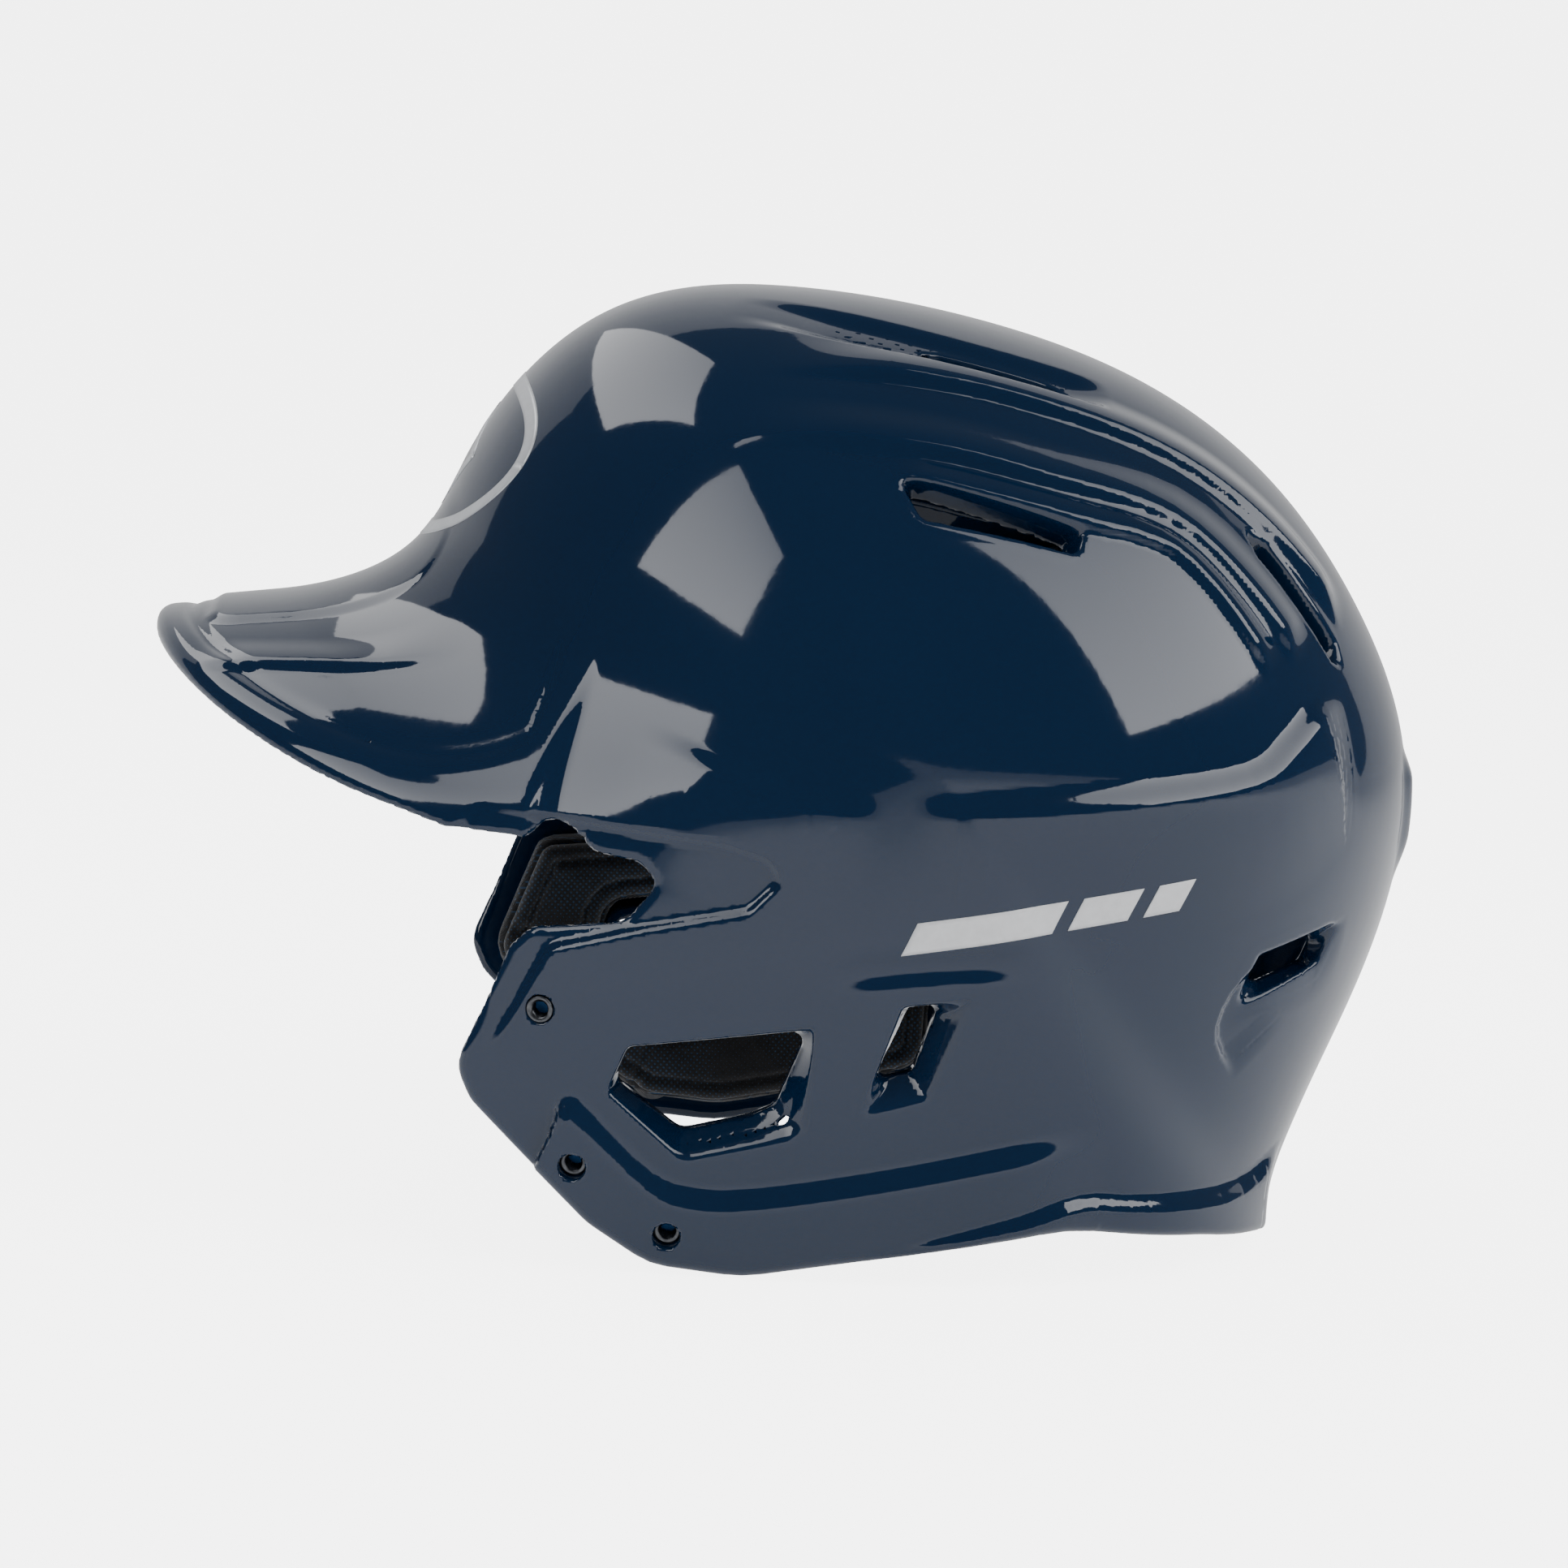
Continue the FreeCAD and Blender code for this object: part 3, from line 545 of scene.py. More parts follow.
# ================================================================ meshing
def surface_net(field, low, high, step, block=8):
    """A quad mesh of a field's zero surface, found block by block on a regular grid."""
    low, high = np.array(low, float), np.array(high, float)
    blocks = np.ceil((high - low) / (step * block)).astype(int)
    grid = np.stack(np.meshgrid(*[np.arange(n) for n in blocks], indexing="ij"), -1).reshape(-1, 3)
    centres = low + (grid + 0.5) * step * block
    reach = step * block * 0.9 + 5
    keep = grid[np.abs(field(centres)) < reach]
    n = block + 1
    corner = np.stack(np.meshgrid(*[np.arange(n)] * 3, indexing="ij"), -1)
    size = blocks * block + 2
    cells, verts, edges = [], [], []
    for part in np.array_split(keep, max(1, len(keep) // 400)):
        index = part[:, None, None, None, :] * block + corner
        value = field((low + index * step).reshape(-1, 3)).reshape(index.shape[:-1])
        value = np.where(value == 0, 1e-9, value)
        inside = value < 0
        any_change = np.zeros(value[:, :-1, :-1, :-1].shape, bool)
        count, place = np.zeros(any_change.shape), np.zeros(any_change.shape + (3,))
        for axis in range(3):
            others = [a for a in range(3) if a != axis]
            for o1 in (0, 1):
                for o2 in (0, 1):
                    first = [slice(0, block)] * 3
                    first[others[0]] = slice(o1, block + o1)
                    first[others[1]] = slice(o2, block + o2)
                    second = list(first)
                    second[axis] = slice(1, block + 1)
                    a, b = value[(slice(None), *first)], value[(slice(None), *second)]
                    cross = (a < 0) != (b < 0)
                    t = np.where(cross, a / np.where(cross, a - b, 1), 0)
                    spot = np.zeros(3)
                    spot[others[0]], spot[others[1]] = o1, o2
                    count += cross
                    place += np.where(cross[..., None], spot, 0)
                    place[..., axis] += t
                    any_change |= cross
        b, i, j, k = np.nonzero(any_change)
        cell = part[b] * block + np.stack([i, j, k], -1)
        cells.append(cell)
        verts.append(low + (cell + place[b, i, j, k] / count[b, i, j, k][:, None]) * step)
        for axis in range(3):
            first = inside[:, :block, :block, :block]
            ahead = [slice(0, block)] * 3
            ahead[axis] = slice(1, block + 1)
            second = inside[(slice(None), *ahead)]
            b, i, j, k = np.nonzero(first != second)
            start = part[b] * block + np.stack([i, j, k], -1)
            edges.append((axis, start, first[b, i, j, k]))
    cells, verts = np.concatenate(cells), np.concatenate(verts)
    key = (cells[:, 0] * size[1] + cells[:, 1]) * size[2] + cells[:, 2]
    order = np.argsort(key)
    key, verts = key[order], verts[order]
    quads = []
    for axis, start, solid in edges:
        u, v = [(1, 2), (2, 0), (0, 1)][axis]
        ring = []
        for du, dv in ((1, 1), (0, 1), (0, 0), (1, 0)):
            c = start.copy()
            c[:, u] -= du
            c[:, v] -= dv
            ring.append((c[:, 0] * size[1] + c[:, 1]) * size[2] + c[:, 2])
        ring = np.stack(ring, -1)
        ring = np.where(solid[:, None], ring, ring[:, ::-1])
        found = np.clip(np.searchsorted(key, ring), 0, len(key) - 1)
        good = np.all(key[found] == ring, axis=1)
        quads.append(found[good])
    return verts, np.concatenate(quads)


def settle(field, verts, rounds=2, cap=1.0):
    """Move vertices onto the zero surface and return them with their outward normals."""
    for _ in range(rounds):
        d = field(verts)
        g = np.empty_like(verts)
        for axis in range(3):
            step = np.zeros(3)
            step[axis] = 0.15
            g[:, axis] = (field(verts + step) - field(verts - step)) / 0.3
        size = np.maximum(np.einsum("ij,ij->i", g, g), 0.2)
        verts = verts - np.clip(d / size, -cap, cap)[:, None] * g
    normal = gradient(field, verts, 0.4)
    return verts, normal


def make_object(name, verts, faces, material, normals=None):
    """A smooth mesh object from millimetre coordinates and an array of quads."""
    mesh = bpy.data.meshes.new(name)
    mesh.vertices.add(len(verts))
    mesh.vertices.foreach_set("co", (verts * MM).astype(np.float32).ravel())
    mesh.loops.add(faces.size)
    mesh.loops.foreach_set("vertex_index", faces.astype(np.int32).ravel())
    mesh.polygons.add(len(faces))
    mesh.polygons.foreach_set("loop_start", np.arange(0, faces.size, faces.shape[1], dtype=np.int32))
    mesh.update(calc_edges=True)
    mesh.validate()
    mesh.polygons.foreach_set("use_smooth", np.full(len(mesh.polygons), True))
    if normals is not None and len(mesh.vertices) == len(normals):
        mesh.normals_split_custom_set_from_vertices(normals.astype(np.float32))
    mesh.materials.append(material)
    made = bpy.data.objects.new(name, mesh)
    bpy.context.scene.collection.objects.link(made)
    return made


def drop_loose(verts, faces, normals):
    """Leave out vertices that no face uses."""
    used = np.unique(faces)
    renumber = np.full(len(verts), -1)
    renumber[used] = np.arange(len(used))
    return verts[used], renumber[faces], normals[used]


def solid_mesh(name, field, low, high, step, material, rounds=2):
    verts, faces = surface_net(field, low, high, step)
    verts, normals = settle(field, verts, rounds, cap=step)
    verts, faces, normals = drop_loose(verts, faces, normals)
    return make_object(name, verts, faces, material, normals)


# ================================================================ materials
class Nodes:
    """A short way to write a node material."""

    def __init__(self, name):
        self.mat = bpy.data.materials.new(name)
        self.mat.use_nodes = True
        self.tree = self.mat.node_tree
        self.shader = self.tree.nodes["Principled BSDF"]

    def add(self, kind, **values):
        node = self.tree.nodes.new(kind)
        for key, value in values.items():
            if key in node.inputs.keys():
                node.inputs[key].default_value = value
            else:
                setattr(node, key, value)
        return node

    def join(self, out, into):
        self.tree.links.new(out, into)

    def set(self, **values):
        for key, value in values.items():
            self.shader.inputs[key.replace("_", " ")].default_value = value

    def bump(self, height, strength, distance):
        node = self.add("ShaderNodeBump", Strength=strength, Distance=distance)
        self.join(height, node.inputs["Height"])
        self.join(node.outputs["Normal"], self.shader.inputs["Normal"])

    def position(self):
        return self.add("ShaderNodeTexCoord").outputs["Object"]

    def ramp(self, source, stops):
        node = self.add("ShaderNodeValToRGB")
        while len(node.color_ramp.elements) < len(stops):
            node.color_ramp.elements.new(0.5)
        for element, (at, colour) in zip(node.color_ramp.elements, stops):
            element.position, element.color = at, colour
        self.join(source, node.inputs[0])
        return node.outputs[0]


def gloss_shell():
    """High gloss navy plastic: moulded colour, faint flow marks, a little dust and handling haze."""
    n = Nodes("navy_gloss")
    where = n.position()
    n.set(IOR=1.5, Coat_Weight=0.35, Coat_Roughness=0.03)
    cloud = n.add("ShaderNodeTexNoise", Scale=9.0, Detail=3.0)
    n.join(where, cloud.inputs["Vector"])
    tint = n.ramp(cloud.outputs["Fac"], [(0.3, (0.0009, 0.0138, 0.044, 1)), (0.7, (0.0013, 0.0165, 0.051, 1))])
    n.join(tint, n.shader.inputs["Base Color"])
    haze = n.add("ShaderNodeTexNoise", Scale=38.0, Detail=6.0, Roughness=0.7)
    n.join(where, haze.inputs["Vector"])
    spread = n.add("ShaderNodeMapRange")
    spread.inputs["From Min"].default_value, spread.inputs["From Max"].default_value = 0.35, 0.8
    spread.inputs["To Min"].default_value, spread.inputs["To Max"].default_value = 0.045, 0.085
    n.join(haze.outputs["Fac"], spread.inputs["Value"])
    n.join(spread.outputs["Result"], n.shader.inputs["Roughness"])
    peel = n.add("ShaderNodeTexNoise", Scale=260.0, Detail=2.0)
    n.join(where, peel.inputs["Vector"])
    n.bump(peel.outputs["Fac"], 0.035, 0.0004)
    return n.mat


def perforated_fabric():
    """Black knit with rows of small holes that show the foam, larger and smaller in bands."""
    n = Nodes("perforated_knit")
    uv = n.add("ShaderNodeUVMap").outputs["UV"]
    split = n.add("ShaderNodeSeparateXYZ")
    n.join(uv, split.inputs[0])

    def maths(op, a, b=None, clamp=False):
        node = n.add("ShaderNodeMath", operation=op, use_clamp=clamp)
        for i, value in enumerate((a, b)):
            if value is None:
                continue
            if isinstance(value, (int, float)):
                node.inputs[i].default_value = value
            else:
                n.join(value, node.inputs[i])
        return node.outputs[0]

    pitch = 1.5
    u, v = maths("DIVIDE", split.outputs[0], pitch), maths("DIVIDE", split.outputs[1], pitch)
    diagonal, other = maths("ADD", u, v), maths("SUBTRACT", u, v)
    cell_u = maths("SUBTRACT", maths("FRACT", diagonal), 0.5)
    cell_v = maths("SUBTRACT", maths("FRACT", other), 0.5)
    away = maths("SQRT", maths("ADD", maths("MULTIPLY", cell_u, cell_u), maths("MULTIPLY", cell_v, cell_v)))
    band = n.add("ShaderNodeTexNoise", Scale=0.045, Detail=1.5)
    n.join(uv, band.inputs["Vector"])
    size = n.add("ShaderNodeMapRange")
    size.inputs["From Min"].default_value, size.inputs["From Max"].default_value = 0.4, 0.62
    size.inputs["To Min"].default_value, size.inputs["To Max"].default_value = 0.12, 0.30
    n.join(band.outputs["Fac"], size.inputs["Value"])
    hole = maths("MULTIPLY", maths("SUBTRACT", size.outputs["Result"], away), 14.0, clamp=True)
    knit = n.add("ShaderNodeTexWave", Scale=1.6, Distortion=1.2, Detail=1.0)
    n.join(uv, knit.inputs["Vector"])
    fibre = n.add("ShaderNodeTexNoise", Scale=3.0, Detail=5.0)
    n.join(uv, fibre.inputs["Vector"])
    cloth = n.ramp(fibre.outputs["Fac"], [(0.25, (0.004, 0.004, 0.005, 1)), (0.8, (0.016, 0.017, 0.020, 1))])
    mix = n.add("ShaderNodeMix", data_type="RGBA")
    n.join(hole, mix.inputs["Factor"])
    n.join(cloth, mix.inputs[6])
    mix.inputs[7].default_value = (0.020, 0.062, 0.13, 1)
    n.join(mix.outputs[2], n.shader.inputs["Base Color"])
    n.set(Roughness=0.82, Sheen_Weight=0.35, Sheen_Roughness=0.45)
    relief_height = maths("SUBTRACT", maths("MULTIPLY", knit.outputs["Fac"], 0.25), hole)
    n.bump(relief_height, 0.5, 0.0005)
    return n.mat


def blue_foam():
    n = Nodes("blue_foam")
    where = n.position()
    cells = n.add("ShaderNodeTexVoronoi", Scale=620.0)
    n.join(where, cells.inputs["Vector"])
    patch = n.add("ShaderNodeTexNoise", Scale=60.0, Detail=4.0)
    n.join(where, patch.inputs["Vector"])
    colour = n.ramp(patch.outputs["Fac"], [(0.3, (0.0, 0.075, 0.27, 1)), (0.7, (0.004, 0.12, 0.38, 1))])
    n.join(colour, n.shader.inputs["Base Color"])
    n.set(Roughness=0.7)
    n.bump(cells.outputs["Distance"], 0.35, 0.0004)
    return n.mat


def plated_steel():
    n = Nodes("plated_steel")
    where = n.position()
    grain = n.add("ShaderNodeTexNoise", Scale=900.0, Detail=3.0)
    n.join(where, grain.inputs["Vector"])
    colour = n.ramp(grain.outputs["Fac"], [(0.3, (0.075, 0.078, 0.085, 1)), (0.7, (0.13, 0.135, 0.145, 1))])
    n.join(colour, n.shader.inputs["Base Color"])
    n.set(Metallic=1.0, Roughness=0.28)
    n.bump(grain.outputs["Fac"], 0.08, 0.0001)
    return n.mat


def film(name, colour, roughness, metallic=0.0):
    n = Nodes(name)
    where = n.position()
    speck = n.add("ShaderNodeTexNoise", Scale=420.0, Detail=4.0)
    n.join(where, speck.inputs["Vector"])
    dark = tuple(c * 0.92 for c in colour) + (1,)
    shade = n.ramp(speck.outputs["Fac"], [(0.3, dark), (0.6, tuple(colour) + (1,))])
    n.join(shade, n.shader.inputs["Base Color"])
    n.set(Roughness=roughness, Metallic=metallic, Coat_Weight=0.3, Coat_Roughness=0.08)
    n.bump(speck.outputs["Fac"], 0.03, 0.0001)
    return n.mat


NAVY, KNIT, FOAM = gloss_shell(), perforated_fabric(), blue_foam()
STEEL = plated_steel()
SILVER = film("silver_film", (0.66, 0.68, 0.71), 0.30, 0.25)
WHITE = film("white_film", (0.80, 0.81, 0.83), 0.38)

# ================================================================ shell
step = 0.95
shell_piece = solid_mesh("shell_moulding", shell, (-104, -150, -3), (104, 148, 215), step, NAVY, rounds=3)
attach(shell_piece, "root")
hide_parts("shell")

# ================================================================ pads
# outlines of the pads: seen from the side, or in the view named beside them
SIDE_PADS = {
    "temple": [(-66, 112, 8), (-58, 148, 10), (-26, 162, 10), (-14, 152, 10), (-18, 104, 8), (-50, 100, 8)],
    "rear_side": [(34, 96, 8), (36, 146, 12), (76, 152, 14), (98, 126, 10), (98, 92, 8)],
    "ear": [
        (-29, 84, 4), (-34, 72, 5), (-56, 70, 5), (-66, 43, 7), (-63, 38, 7), (-39, 14.5, 12),
        (-27, 7, 12), (-8, 5.4, 20), (30, 13, 20), (44, 19, 8), (46, 84, 10),
    ],
}
CENTRE_PADS = {
    "front": ([(-50, 148, 9), (50, 148, 9), (42, 182, 12), (-42, 182, 12)], "front"),
    "crown": ([(-27, -34, 12), (27, -34, 12), (24, 62, 12), (-24, 62, 12)], "top"),
    "rear": ([(-34, 74, 9), (34, 74, 9), (38, 128, 12), (-38, 128, 12)], "back"),
    "nape": ([(-44, 16, 7), (44, 16, 7), (40, 52, 8), (-40, 52, 8)], "back"),
}
EAR_ROOM = [(-39.5, 40.2, 5), (-37.4, 54.0, 5), (7.4, 61.0, 5),
            (1.2, 34.6, 6), (-8.0, 31.0, 6), (-22.4, 26.6, 6)]
SLOT_ROOM = [(15.0, 43.2, 3), (22.2, 64.4, 3), (32.6, 65.8, 3), (27.0, 46.0, 3)]


def plane_of(view, p):
    """The two coordinates that a pad's outline is drawn in, and which side of the head it needs."""
    if view == "side":
        return p[:, 1], p[:, 2], 16 - p[:, 0]
    if view == "top":
        return p[:, 0], p[:, 1], 120 - p[:, 2]
    if view == "back":
        return p[:, 0], p[:, 2], 40 - p[:, 1]
    return p[:, 0], p[:, 2], p[:, 1] + 30


def pad_piece(name, corners, view, kind, holes=()):
    """A pad as a crowned solid: thick in the middle, rolled down at its border, with sewn channels."""
    soft = kind == "pad"
    edge = Outline(corners, 5.0, margin=22, step=0.7)
    rooms = [Outline(h, 4.0, margin=22, step=0.7) for h in holes]
    channels = CHANNELS.get(name, [])
    outer, inner = (11.7, 16.6) if soft else (3.8, 11.6)
    shrink = 1.2 if soft else 0.2

    def field(p):
        u, v, side = plane_of(view, p)
        rim = edge(u, v)
        for room in rooms:
            rim = np.maximum(rim, -room(u, v))
        rim = rim + shrink
        if not soft:
            wall = smax(form(p, outer), -form(p, inner), 0.8)
            return np.maximum(smax(wall, rim, 2.5), side)
        inside = np.maximum(-rim, 0)
        crown = 1.9 * (1 - np.exp(-inside / 9.0)) - 1.7 * np.exp(-((inside - 4.6) / 0.9) ** 2)
        crown = crown - 1.2 * np.exp(-inside / 1.6)
        for a, b in channels:
            a, b = np.array(a, float), np.array(b, float)
            e = (b - a) / np.linalg.norm(b - a)
            t = np.clip((u - a[0]) * e[0] + (v - a[1]) * e[1], 0, np.linalg.norm(b - a))
            off = np.hypot(u - a[0] - t * e[0], v - a[1] - t * e[1])
            crown = crown - 1.6 * np.exp(-((off / 1.5) ** 2))
        wrinkle = 0.16 * np.sin(u * 0.43 + 1.3 * np.sin(v * 0.31)) * np.sin(v * 0.37 + 0.8 * np.sin(u * 0.27))
        inner_face = -form(p, inner) - crown - wrinkle
        wall = smax(form(p, outer), inner_face, 3.0)
        return np.maximum(smax(wall, rim, 3.6), side)

    spread = np.array(corners)[:, :2]
    (u0, v0), (u1, v1) = spread.min(0) - 2, spread.max(0) + 2
    if view == "side":
        low, high = (16, u0, v0), (102, u1, v1)
    elif view == "top":
        low, high = (u0, v0, 150), (u1, v1, 212)
    elif view == "back":
        low, high = (u0, 50, v0), (u1, 146, v1)
    else:
        low, high = (u0, -90, v0), (u1, -28, v1)
    step = (1.3) if soft else 2.4
    return surface_net(field, low, high, step), field, step


CHANNELS = {
    "ear": [((-60, 47), (-40, 45)), ((-30, 8), (-24, 26)), ((6, 60), (10, 84)), ((34, 14), (26, 44))],
    "temple": [((-46, 100), (-40, 158))],
    "rear_side": [((66, 90), (66, 152))],
    "front": [((-16, 146), (-15, 184)), ((16, 146), (15, 184))],
    "crown": [((-28, 12), (28, 12)), ((-28, 38), (28, 38))],
    "rear": [((-36, 100), (36, 100))],
    "nape": [((-15, 14), (-14, 54)), ((15, 14), (14, 54))],
}


def lay_uv(made, verts, normal):
    """Coordinates in millimetres for the fabric, laid on from the side each face looks to most."""
    mesh = made.data
    layer = mesh.uv_layers.new(name="fabric")
    index = np.empty(len(mesh.loops), np.int32)
    mesh.loops.foreach_get("vertex_index", index)
    facing = np.abs(normal.mean(0))
    centre = np.array([0.0, CENTRE_Y, CENTRE_Z])
    w = verts - centre
    if facing[0] > facing[1] and facing[0] > facing[2]:
        u, v = w[:, 1], w[:, 2]
    elif facing[2] > facing[1]:
        u, v = w[:, 0], w[:, 1]
    else:
        u, v = w[:, 0], w[:, 2]
    layer.data.foreach_set("uv", np.stack([u, v], -1)[index].astype(np.float32).ravel())


def wrap_sides(made, verts, faces):
    """The knit goes round a foam block's sides, and only the side glued to the shell stays bare."""
    made.data.materials.append(KNIT)
    a, b, c = (verts[faces[:, k]] for k in (0, 1, 2))
    n = np.cross(b - a, c - a)
    n /= np.linalg.norm(n, axis=1, keepdims=True) + 1e-9
    bare = np.einsum("ij,ij->i", n, form_normal((a + c) / 2)) > 0.75
    made.data.polygons.foreach_set("material_index", np.where(bare, 0, 1).astype(np.int32))


def make_pads():
    jobs = [(n, c, "side") for n, c in SIDE_PADS.items()] + [(n, c, v) for n, (c, v) in CENTRE_PADS.items()]
    for name, corners, view in jobs:
        holes = (EAR_ROOM, SLOT_ROOM) if name == "ear" else ()
        for kind, material, slot in (("foam", FOAM, "firm_foam"), ("pad", KNIT, "pad_fabric")):
            (verts, faces), field, step = pad_piece(name, corners, view, kind, holes)
            verts, normals = settle(field, verts, 2, cap=step)
            verts, faces, normals = drop_loose(verts, faces, normals)
            facing = normals[np.abs(normals).max(1) > 0.8]
            for side, word in ((1, "left_"), (-1, "right_")) if view == "side" else ((1, ""),):
                node = f"{word}{name}_{kind}"
                v, n, f = verts * (side, 1, 1), normals * (side, 1, 1), faces if side > 0 else faces[:, ::-1]
                label = node + ("_cover" if kind == "pad" else "_block")
                made = make_object(label, v, f, material, n)
                lay_uv(made, v, facing)
                if kind == "foam":
                    wrap_sides(made, v, f)
                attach(made, "root")
                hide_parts(node)


make_pads()

# ================================================================ threaded inserts
def insert_mesh(at, way):
    """A flanged insert turned round its axis, its bore cut by a screw thread, in rings of points."""
    side = np.cross(way, (0, 0, 1))
    side /= np.linalg.norm(side)
    other = np.cross(way, side)
    pitch, turns = 0.8, 48
    # (radius, height below the mouth); the bore's radius follows the thread
    outline = [(1.95, -0.10), (2.35, 0.10), (2.70, 0.10), (2.85, -0.05), (2.85, -3.75),
               (5.5, -3.75), (5.6, -3.85), (5.6, -4.85), (5.5, -4.95),
               (2.8, -4.95), (2.8, -6.9), (2.6, -7.0), (2.0, -7.0)]
    bore = [(None, -6.9 + 0.1 * k) for k in range(68)]
    rows = []
    for k, (radius, height) in enumerate(outline + bore):
        ring = []
        for i in range(turns):
            angle = 2 * math.pi * i / turns
            r = radius
            if r is None:
                phase = ((height - pitch * i / turns) / pitch) % 1.0
                r = 1.62 + 0.40 * abs(2 * phase - 1)
            ring.append(at + way * height + (side * math.cos(angle) + other * math.sin(angle)) * r)
        rows.append(ring)
    points = np.array(rows).reshape(-1, 3)
    count, faces = len(rows), []
    for k in range(count):
        for i in range(turns):
            j, m = (i + 1) % turns, (k + 1) % count
            faces.append((k * turns + i, k * turns + j, m * turns + j, m * turns + i))
    return points, np.array(faces)


for side, word in ((1, "left"), (-1, "right")):
    points, faces, start = [], [], 0
    for at, way in INSERT_FRAMES:
        p, f = insert_mesh(at * (side, 1, 1), way * (side, 1, 1))
        points.append(p)
        faces.append(f + start)
        start += len(p)
    made = make_object(f"{word}_threaded_inserts", np.concatenate(points), np.concatenate(faces), STEEL)
    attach(made, "root")
    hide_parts(f"{word}_guard_inserts")

# ================================================================ decals
def decal_grid(name, node, patches, axis, material):
    """Thin films on the outside. A patch is a grid of flat points, thrown onto the surface along an axis."""
    points, faces, start = [], [], 0
    for patch, guess in patches:
        rows, cols = patch.shape[:2]
        flat = patch.reshape(-1, 2)
        if axis == 0:
            q = np.stack([np.full(len(flat), 0.0), flat[:, 0], flat[:, 1]], -1)
        else:
            q = np.stack([flat[:, 0], np.full(len(flat), 0.0), flat[:, 1]], -1)
        q[:, axis] = guess
        way = np.zeros(3)
        way[axis] = math.copysign(1, guess)
        for _ in range(14):
            d = skin(q)
            slope = (skin(q + way * 0.1) - d) / 0.1
            q = q - way * np.clip(d / np.maximum(slope, 0.2), -8, 8)[:, None]
        n = gradient(skin, q, 0.2)
        for lift in (0.14, -0.5):
            points.append(q + n * lift)
        size, top, low = rows * cols, start, start + rows * cols
        for i in range(rows - 1):
            for j in range(cols - 1):
                a, b, c, d4 = i * cols + j, (i + 1) * cols + j, (i + 1) * cols + j + 1, i * cols + j + 1
                faces.append((top + a, top + b, top + c, top + d4))
                faces.append((low + d4, low + c, low + b, low + a))
        rim = [i * cols for i in range(rows)] + [(rows - 1) * cols + j for j in range(1, cols)]
        rim += [i * cols + cols - 1 for i in range(rows - 2, -1, -1)] + [j for j in range(cols - 2, 0, -1)]
        for a, b in zip(rim, rim[1:] + rim[:1]):
            faces.append((top + b, top + a, low + a, low + b))
        start += 2 * size
    made = make_object(name, np.concatenate(points), np.array(faces), material)
    work = bmesh.new()
    work.from_mesh(made.data)
    bmesh.ops.recalc_face_normals(work, faces=work.faces)
    work.to_mesh(made.data)
    work.free()
    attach(made, "root")
    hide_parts(node)
    return made


def quad_patch(corners, cols, rows):
    """A grid over a four-cornered patch."""
    a, b, c, d = (np.array(k, float) for k in corners)
    s, t = np.linspace(0, 1, cols)[None, :, None], np.linspace(0, 1, rows)[:, None, None]
    return (a * (1 - s) + b * s) * (1 - t) + (d * (1 - s) + c * s) * t


BARS = [
    [(20.5, 74.0), (52.5, 79.8), (55.5, 87.0), (23.5, 81.2)],
    [(56.0, 80.4), (69.0, 82.8), (72.0, 90.0), (59.0, 87.6)],
    [(72.5, 83.4), (80.5, 84.9), (83.5, 92.1), (75.5, 90.6)],
]
for side, word in ((1, "left"), (-1, "right")):
    patches = [(quad_patch(bar, 24, 8), side * 92.0) for bar in BARS]
    decal_grid(f"{word}_stripe_film", f"{word}_stripes", patches, 0, WHITE)

turn = np.linspace(0, 2 * math.pi, 121)
wide, tall, thick = 43.0, 19.0, 3.2
radial = np.linspace(0, 1, 5)[:, None]
ring = np.stack([(wide - thick * radial) * np.cos(turn), 169 + (tall - thick * radial) * np.sin(turn)], -1)
tips = [(0, 157), (16, 169), (0, 181), (-16, 169)]
small = [(0, 161), (10.6, 169), (0, 177), (-10.6, 169)]
diamond = [quad_patch([tips[i], tips[(i + 1) % 4], small[(i + 1) % 4], small[i]], 10, 4) for i in range(4)]
decal_grid("forehead_badge", "front_badge", [(ring, -70.0)] + [(patch, -74.0) for patch in diamond],
           1, SILVER)
decal_grid("neck_mark", "rear_badge", [(quad_patch([(-11, 33), (11, 33), (11, 41), (-11, 41)], 12, 6), 124.0)],
           1, WHITE)


# ================================================================ studio
def panel(name, corners, distance, strength, grade=0.0):
    """A softbox bowed round the helmet between four directions, brighter towards its last edge."""
    n = Nodes(name)
    n.tree.nodes.remove(n.shader)
    glow = n.add("ShaderNodeEmission", Strength=strength)
    across = n.add("ShaderNodeSeparateXYZ")
    n.join(n.add("ShaderNodeUVMap").outputs["UV"], across.inputs[0])
    fade = n.add("ShaderNodeMapRange")
    fade.inputs["To Min"].default_value = strength * (1 - grade)
    fade.inputs["To Max"].default_value = strength * (1 + grade)
    n.join(across.outputs[1], fade.inputs["Value"])
    n.join(fade.outputs["Result"], glow.inputs["Strength"])
    n.join(glow.outputs[0], n.tree.nodes["Material Output"].inputs["Surface"])
    a, b, c, d = (Vector(k).normalized() for k in corners)
    count = 12
    points = []
    for i in range(count + 1):
        for j in range(count + 1):
            s, t = j / count, i / count
            way = (a * (1 - s) + b * s) * (1 - t) + (d * (1 - s) + c * s) * t
            points.append(Vector((0, 0, 0.12)) + way.normalized() * distance)
    row = count + 1
    faces = [(i * row + j, i * row + j + 1, (i + 1) * row + j + 1, (i + 1) * row + j)
             for i in range(count) for j in range(count)]
    mesh = bpy.data.meshes.new(name)
    mesh.from_pydata(points, [], faces)
    mesh.materials.append(n.mat)
    layer = mesh.uv_layers.new(name="spread")
    for loop in mesh.loops:
        i, j = divmod(loop.vertex_index, row)
        layer.data[loop.index].uv = (j / count, i / count)
    made = bpy.data.objects.new(name, mesh)
    bpy.context.scene.collection.objects.link(made)
    return made


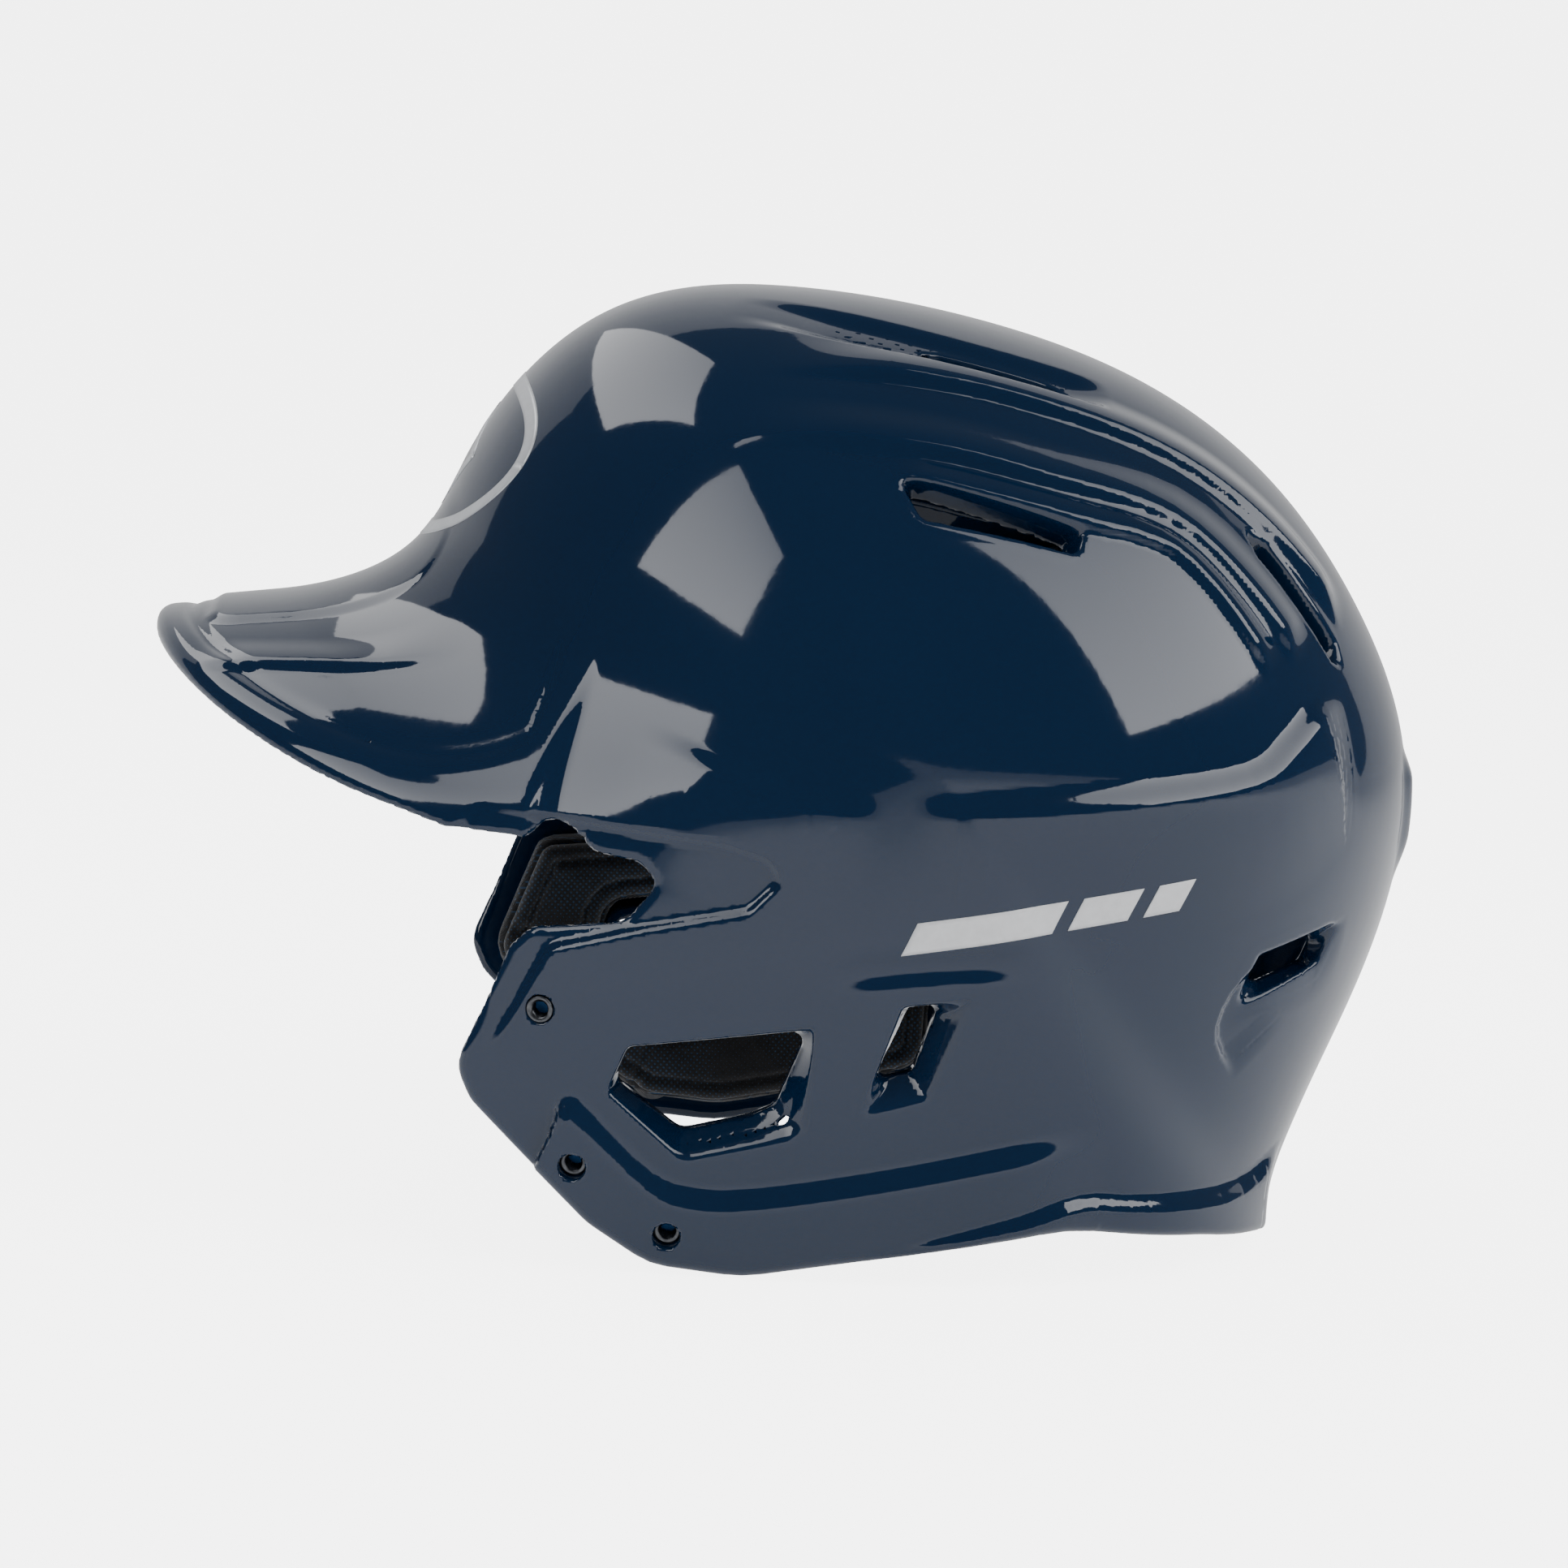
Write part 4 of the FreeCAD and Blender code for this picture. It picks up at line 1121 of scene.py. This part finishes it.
floor_nodes = Nodes("pale_floor")
speckle = floor_nodes.add("ShaderNodeTexNoise", Scale=4.0, Detail=2.0)
floor_nodes.join(floor_nodes.position(), speckle.inputs["Vector"])
floor_colour = floor_nodes.ramp(speckle.outputs["Fac"],
                                [(0.3, (0.86, 0.86, 0.86, 1)), (0.7, (0.88, 0.88, 0.88, 1))])
floor_nodes.join(floor_colour, floor_nodes.shader.inputs["Base Color"])
floor_nodes.set(Roughness=0.9, Specular_IOR_Level=0.0, Emission_Color=(1, 1, 1, 1))
seen = floor_nodes.add("ShaderNodeMapRange")
seen.inputs["To Min"].default_value, seen.inputs["To Max"].default_value = 0.42, 5.0
floor_nodes.join(floor_nodes.add("ShaderNodeLightPath").outputs["Is Camera Ray"], seen.inputs["Value"])
floor_nodes.join(seen.outputs["Result"], floor_nodes.shader.inputs["Emission Strength"])
sweep = bpy.data.meshes.new("floor")
# a flat floor that curves up into a wall behind the helmet, far away
curve = [(-3.0 - 1.5 * math.sin(a), 1.5 - 1.5 * math.cos(a)) for a in (0.26, 0.52, 0.79, 1.05, 1.31, 1.57)]
profile = [(6.0, 0.0), (-3.0, 0.0)] + curve + [(-4.5, 6.0)]
rows = [[(x, y, z - 0.0002) for y in (-7.0, 7.0)] for x, z in profile]
points = [p for row in rows for p in row]
sweep.from_pydata(points, [], [(2 * i, 2 * i + 1, 2 * i + 3, 2 * i + 2) for i in range(len(rows) - 1)])
sweep.polygons.foreach_set("use_smooth", [True] * len(sweep.polygons))
sweep.materials.append(floor_nodes.mat)
floor = bpy.data.objects.new("floor", sweep)
bpy.context.scene.collection.objects.link(floor)

panel("softbox_top", [(-0.80, -0.32, 0.50), (-0.29, -0.21, 0.93), (0.10, -0.45, 0.89), (-0.14, -0.72, 0.68)],
      1.6, 3.2, 0.3)
panel("softbox_front", [(0.35, -0.34, 0.88), (0.71, -0.30, 0.63), (0.80, -0.52, 0.28), (0.42, -0.80, 0.40)],
      1.5, 3.6, 0.3)
panel("softbox_rear", [(0.44, 0.17, 0.88), (0.05, 0.62, 0.79), (-0.01, 0.92, 0.38), (0.72, 0.67, 0.20)],
      1.5, 3.6, 0.35)

world = bpy.data.worlds.new("studio")
bpy.context.scene.world = world
world.use_nodes = True
tree = world.node_tree
tree.nodes["Background"].inputs["Color"].default_value = (0.10, 0.105, 0.115, 1)
tree.nodes["Background"].inputs["Strength"].default_value = 1.0
white = tree.nodes.new("ShaderNodeBackground")
white.inputs["Color"].default_value = (1, 1, 1, 1)
path = tree.nodes.new("ShaderNodeLightPath")
blend = tree.nodes.new("ShaderNodeMixShader")
tree.links.new(path.outputs["Is Camera Ray"], blend.inputs[0])
tree.links.new(tree.nodes["Background"].outputs[0], blend.inputs[1])
tree.links.new(white.outputs[0], blend.inputs[2])
tree.links.new(blend.outputs[0], tree.nodes["World Output"].inputs["Surface"])

# ================================================================ camera
camera = bpy.data.cameras.new("camera")
camera.lens, camera.sensor_width = 101.4, 36.0
camera.clip_start, camera.clip_end = 0.05, 30.0
view = bpy.data.objects.new("camera", camera)
bpy.context.scene.collection.objects.link(view)
back = -Vector((-0.99084, 0.05796, -0.12193)).normalized()
up = Vector((-0.12517, -0.05597, 0.99056))
right = up.cross(back).normalized()
up = back.cross(right)
view.matrix_world = Matrix(((right.x, up.x, back.x, 1.01363), (right.y, up.y, back.y, -0.05985),
                            (right.z, up.z, back.z, 0.22150), (0, 0, 0, 1)))
bpy.context.scene.camera = view
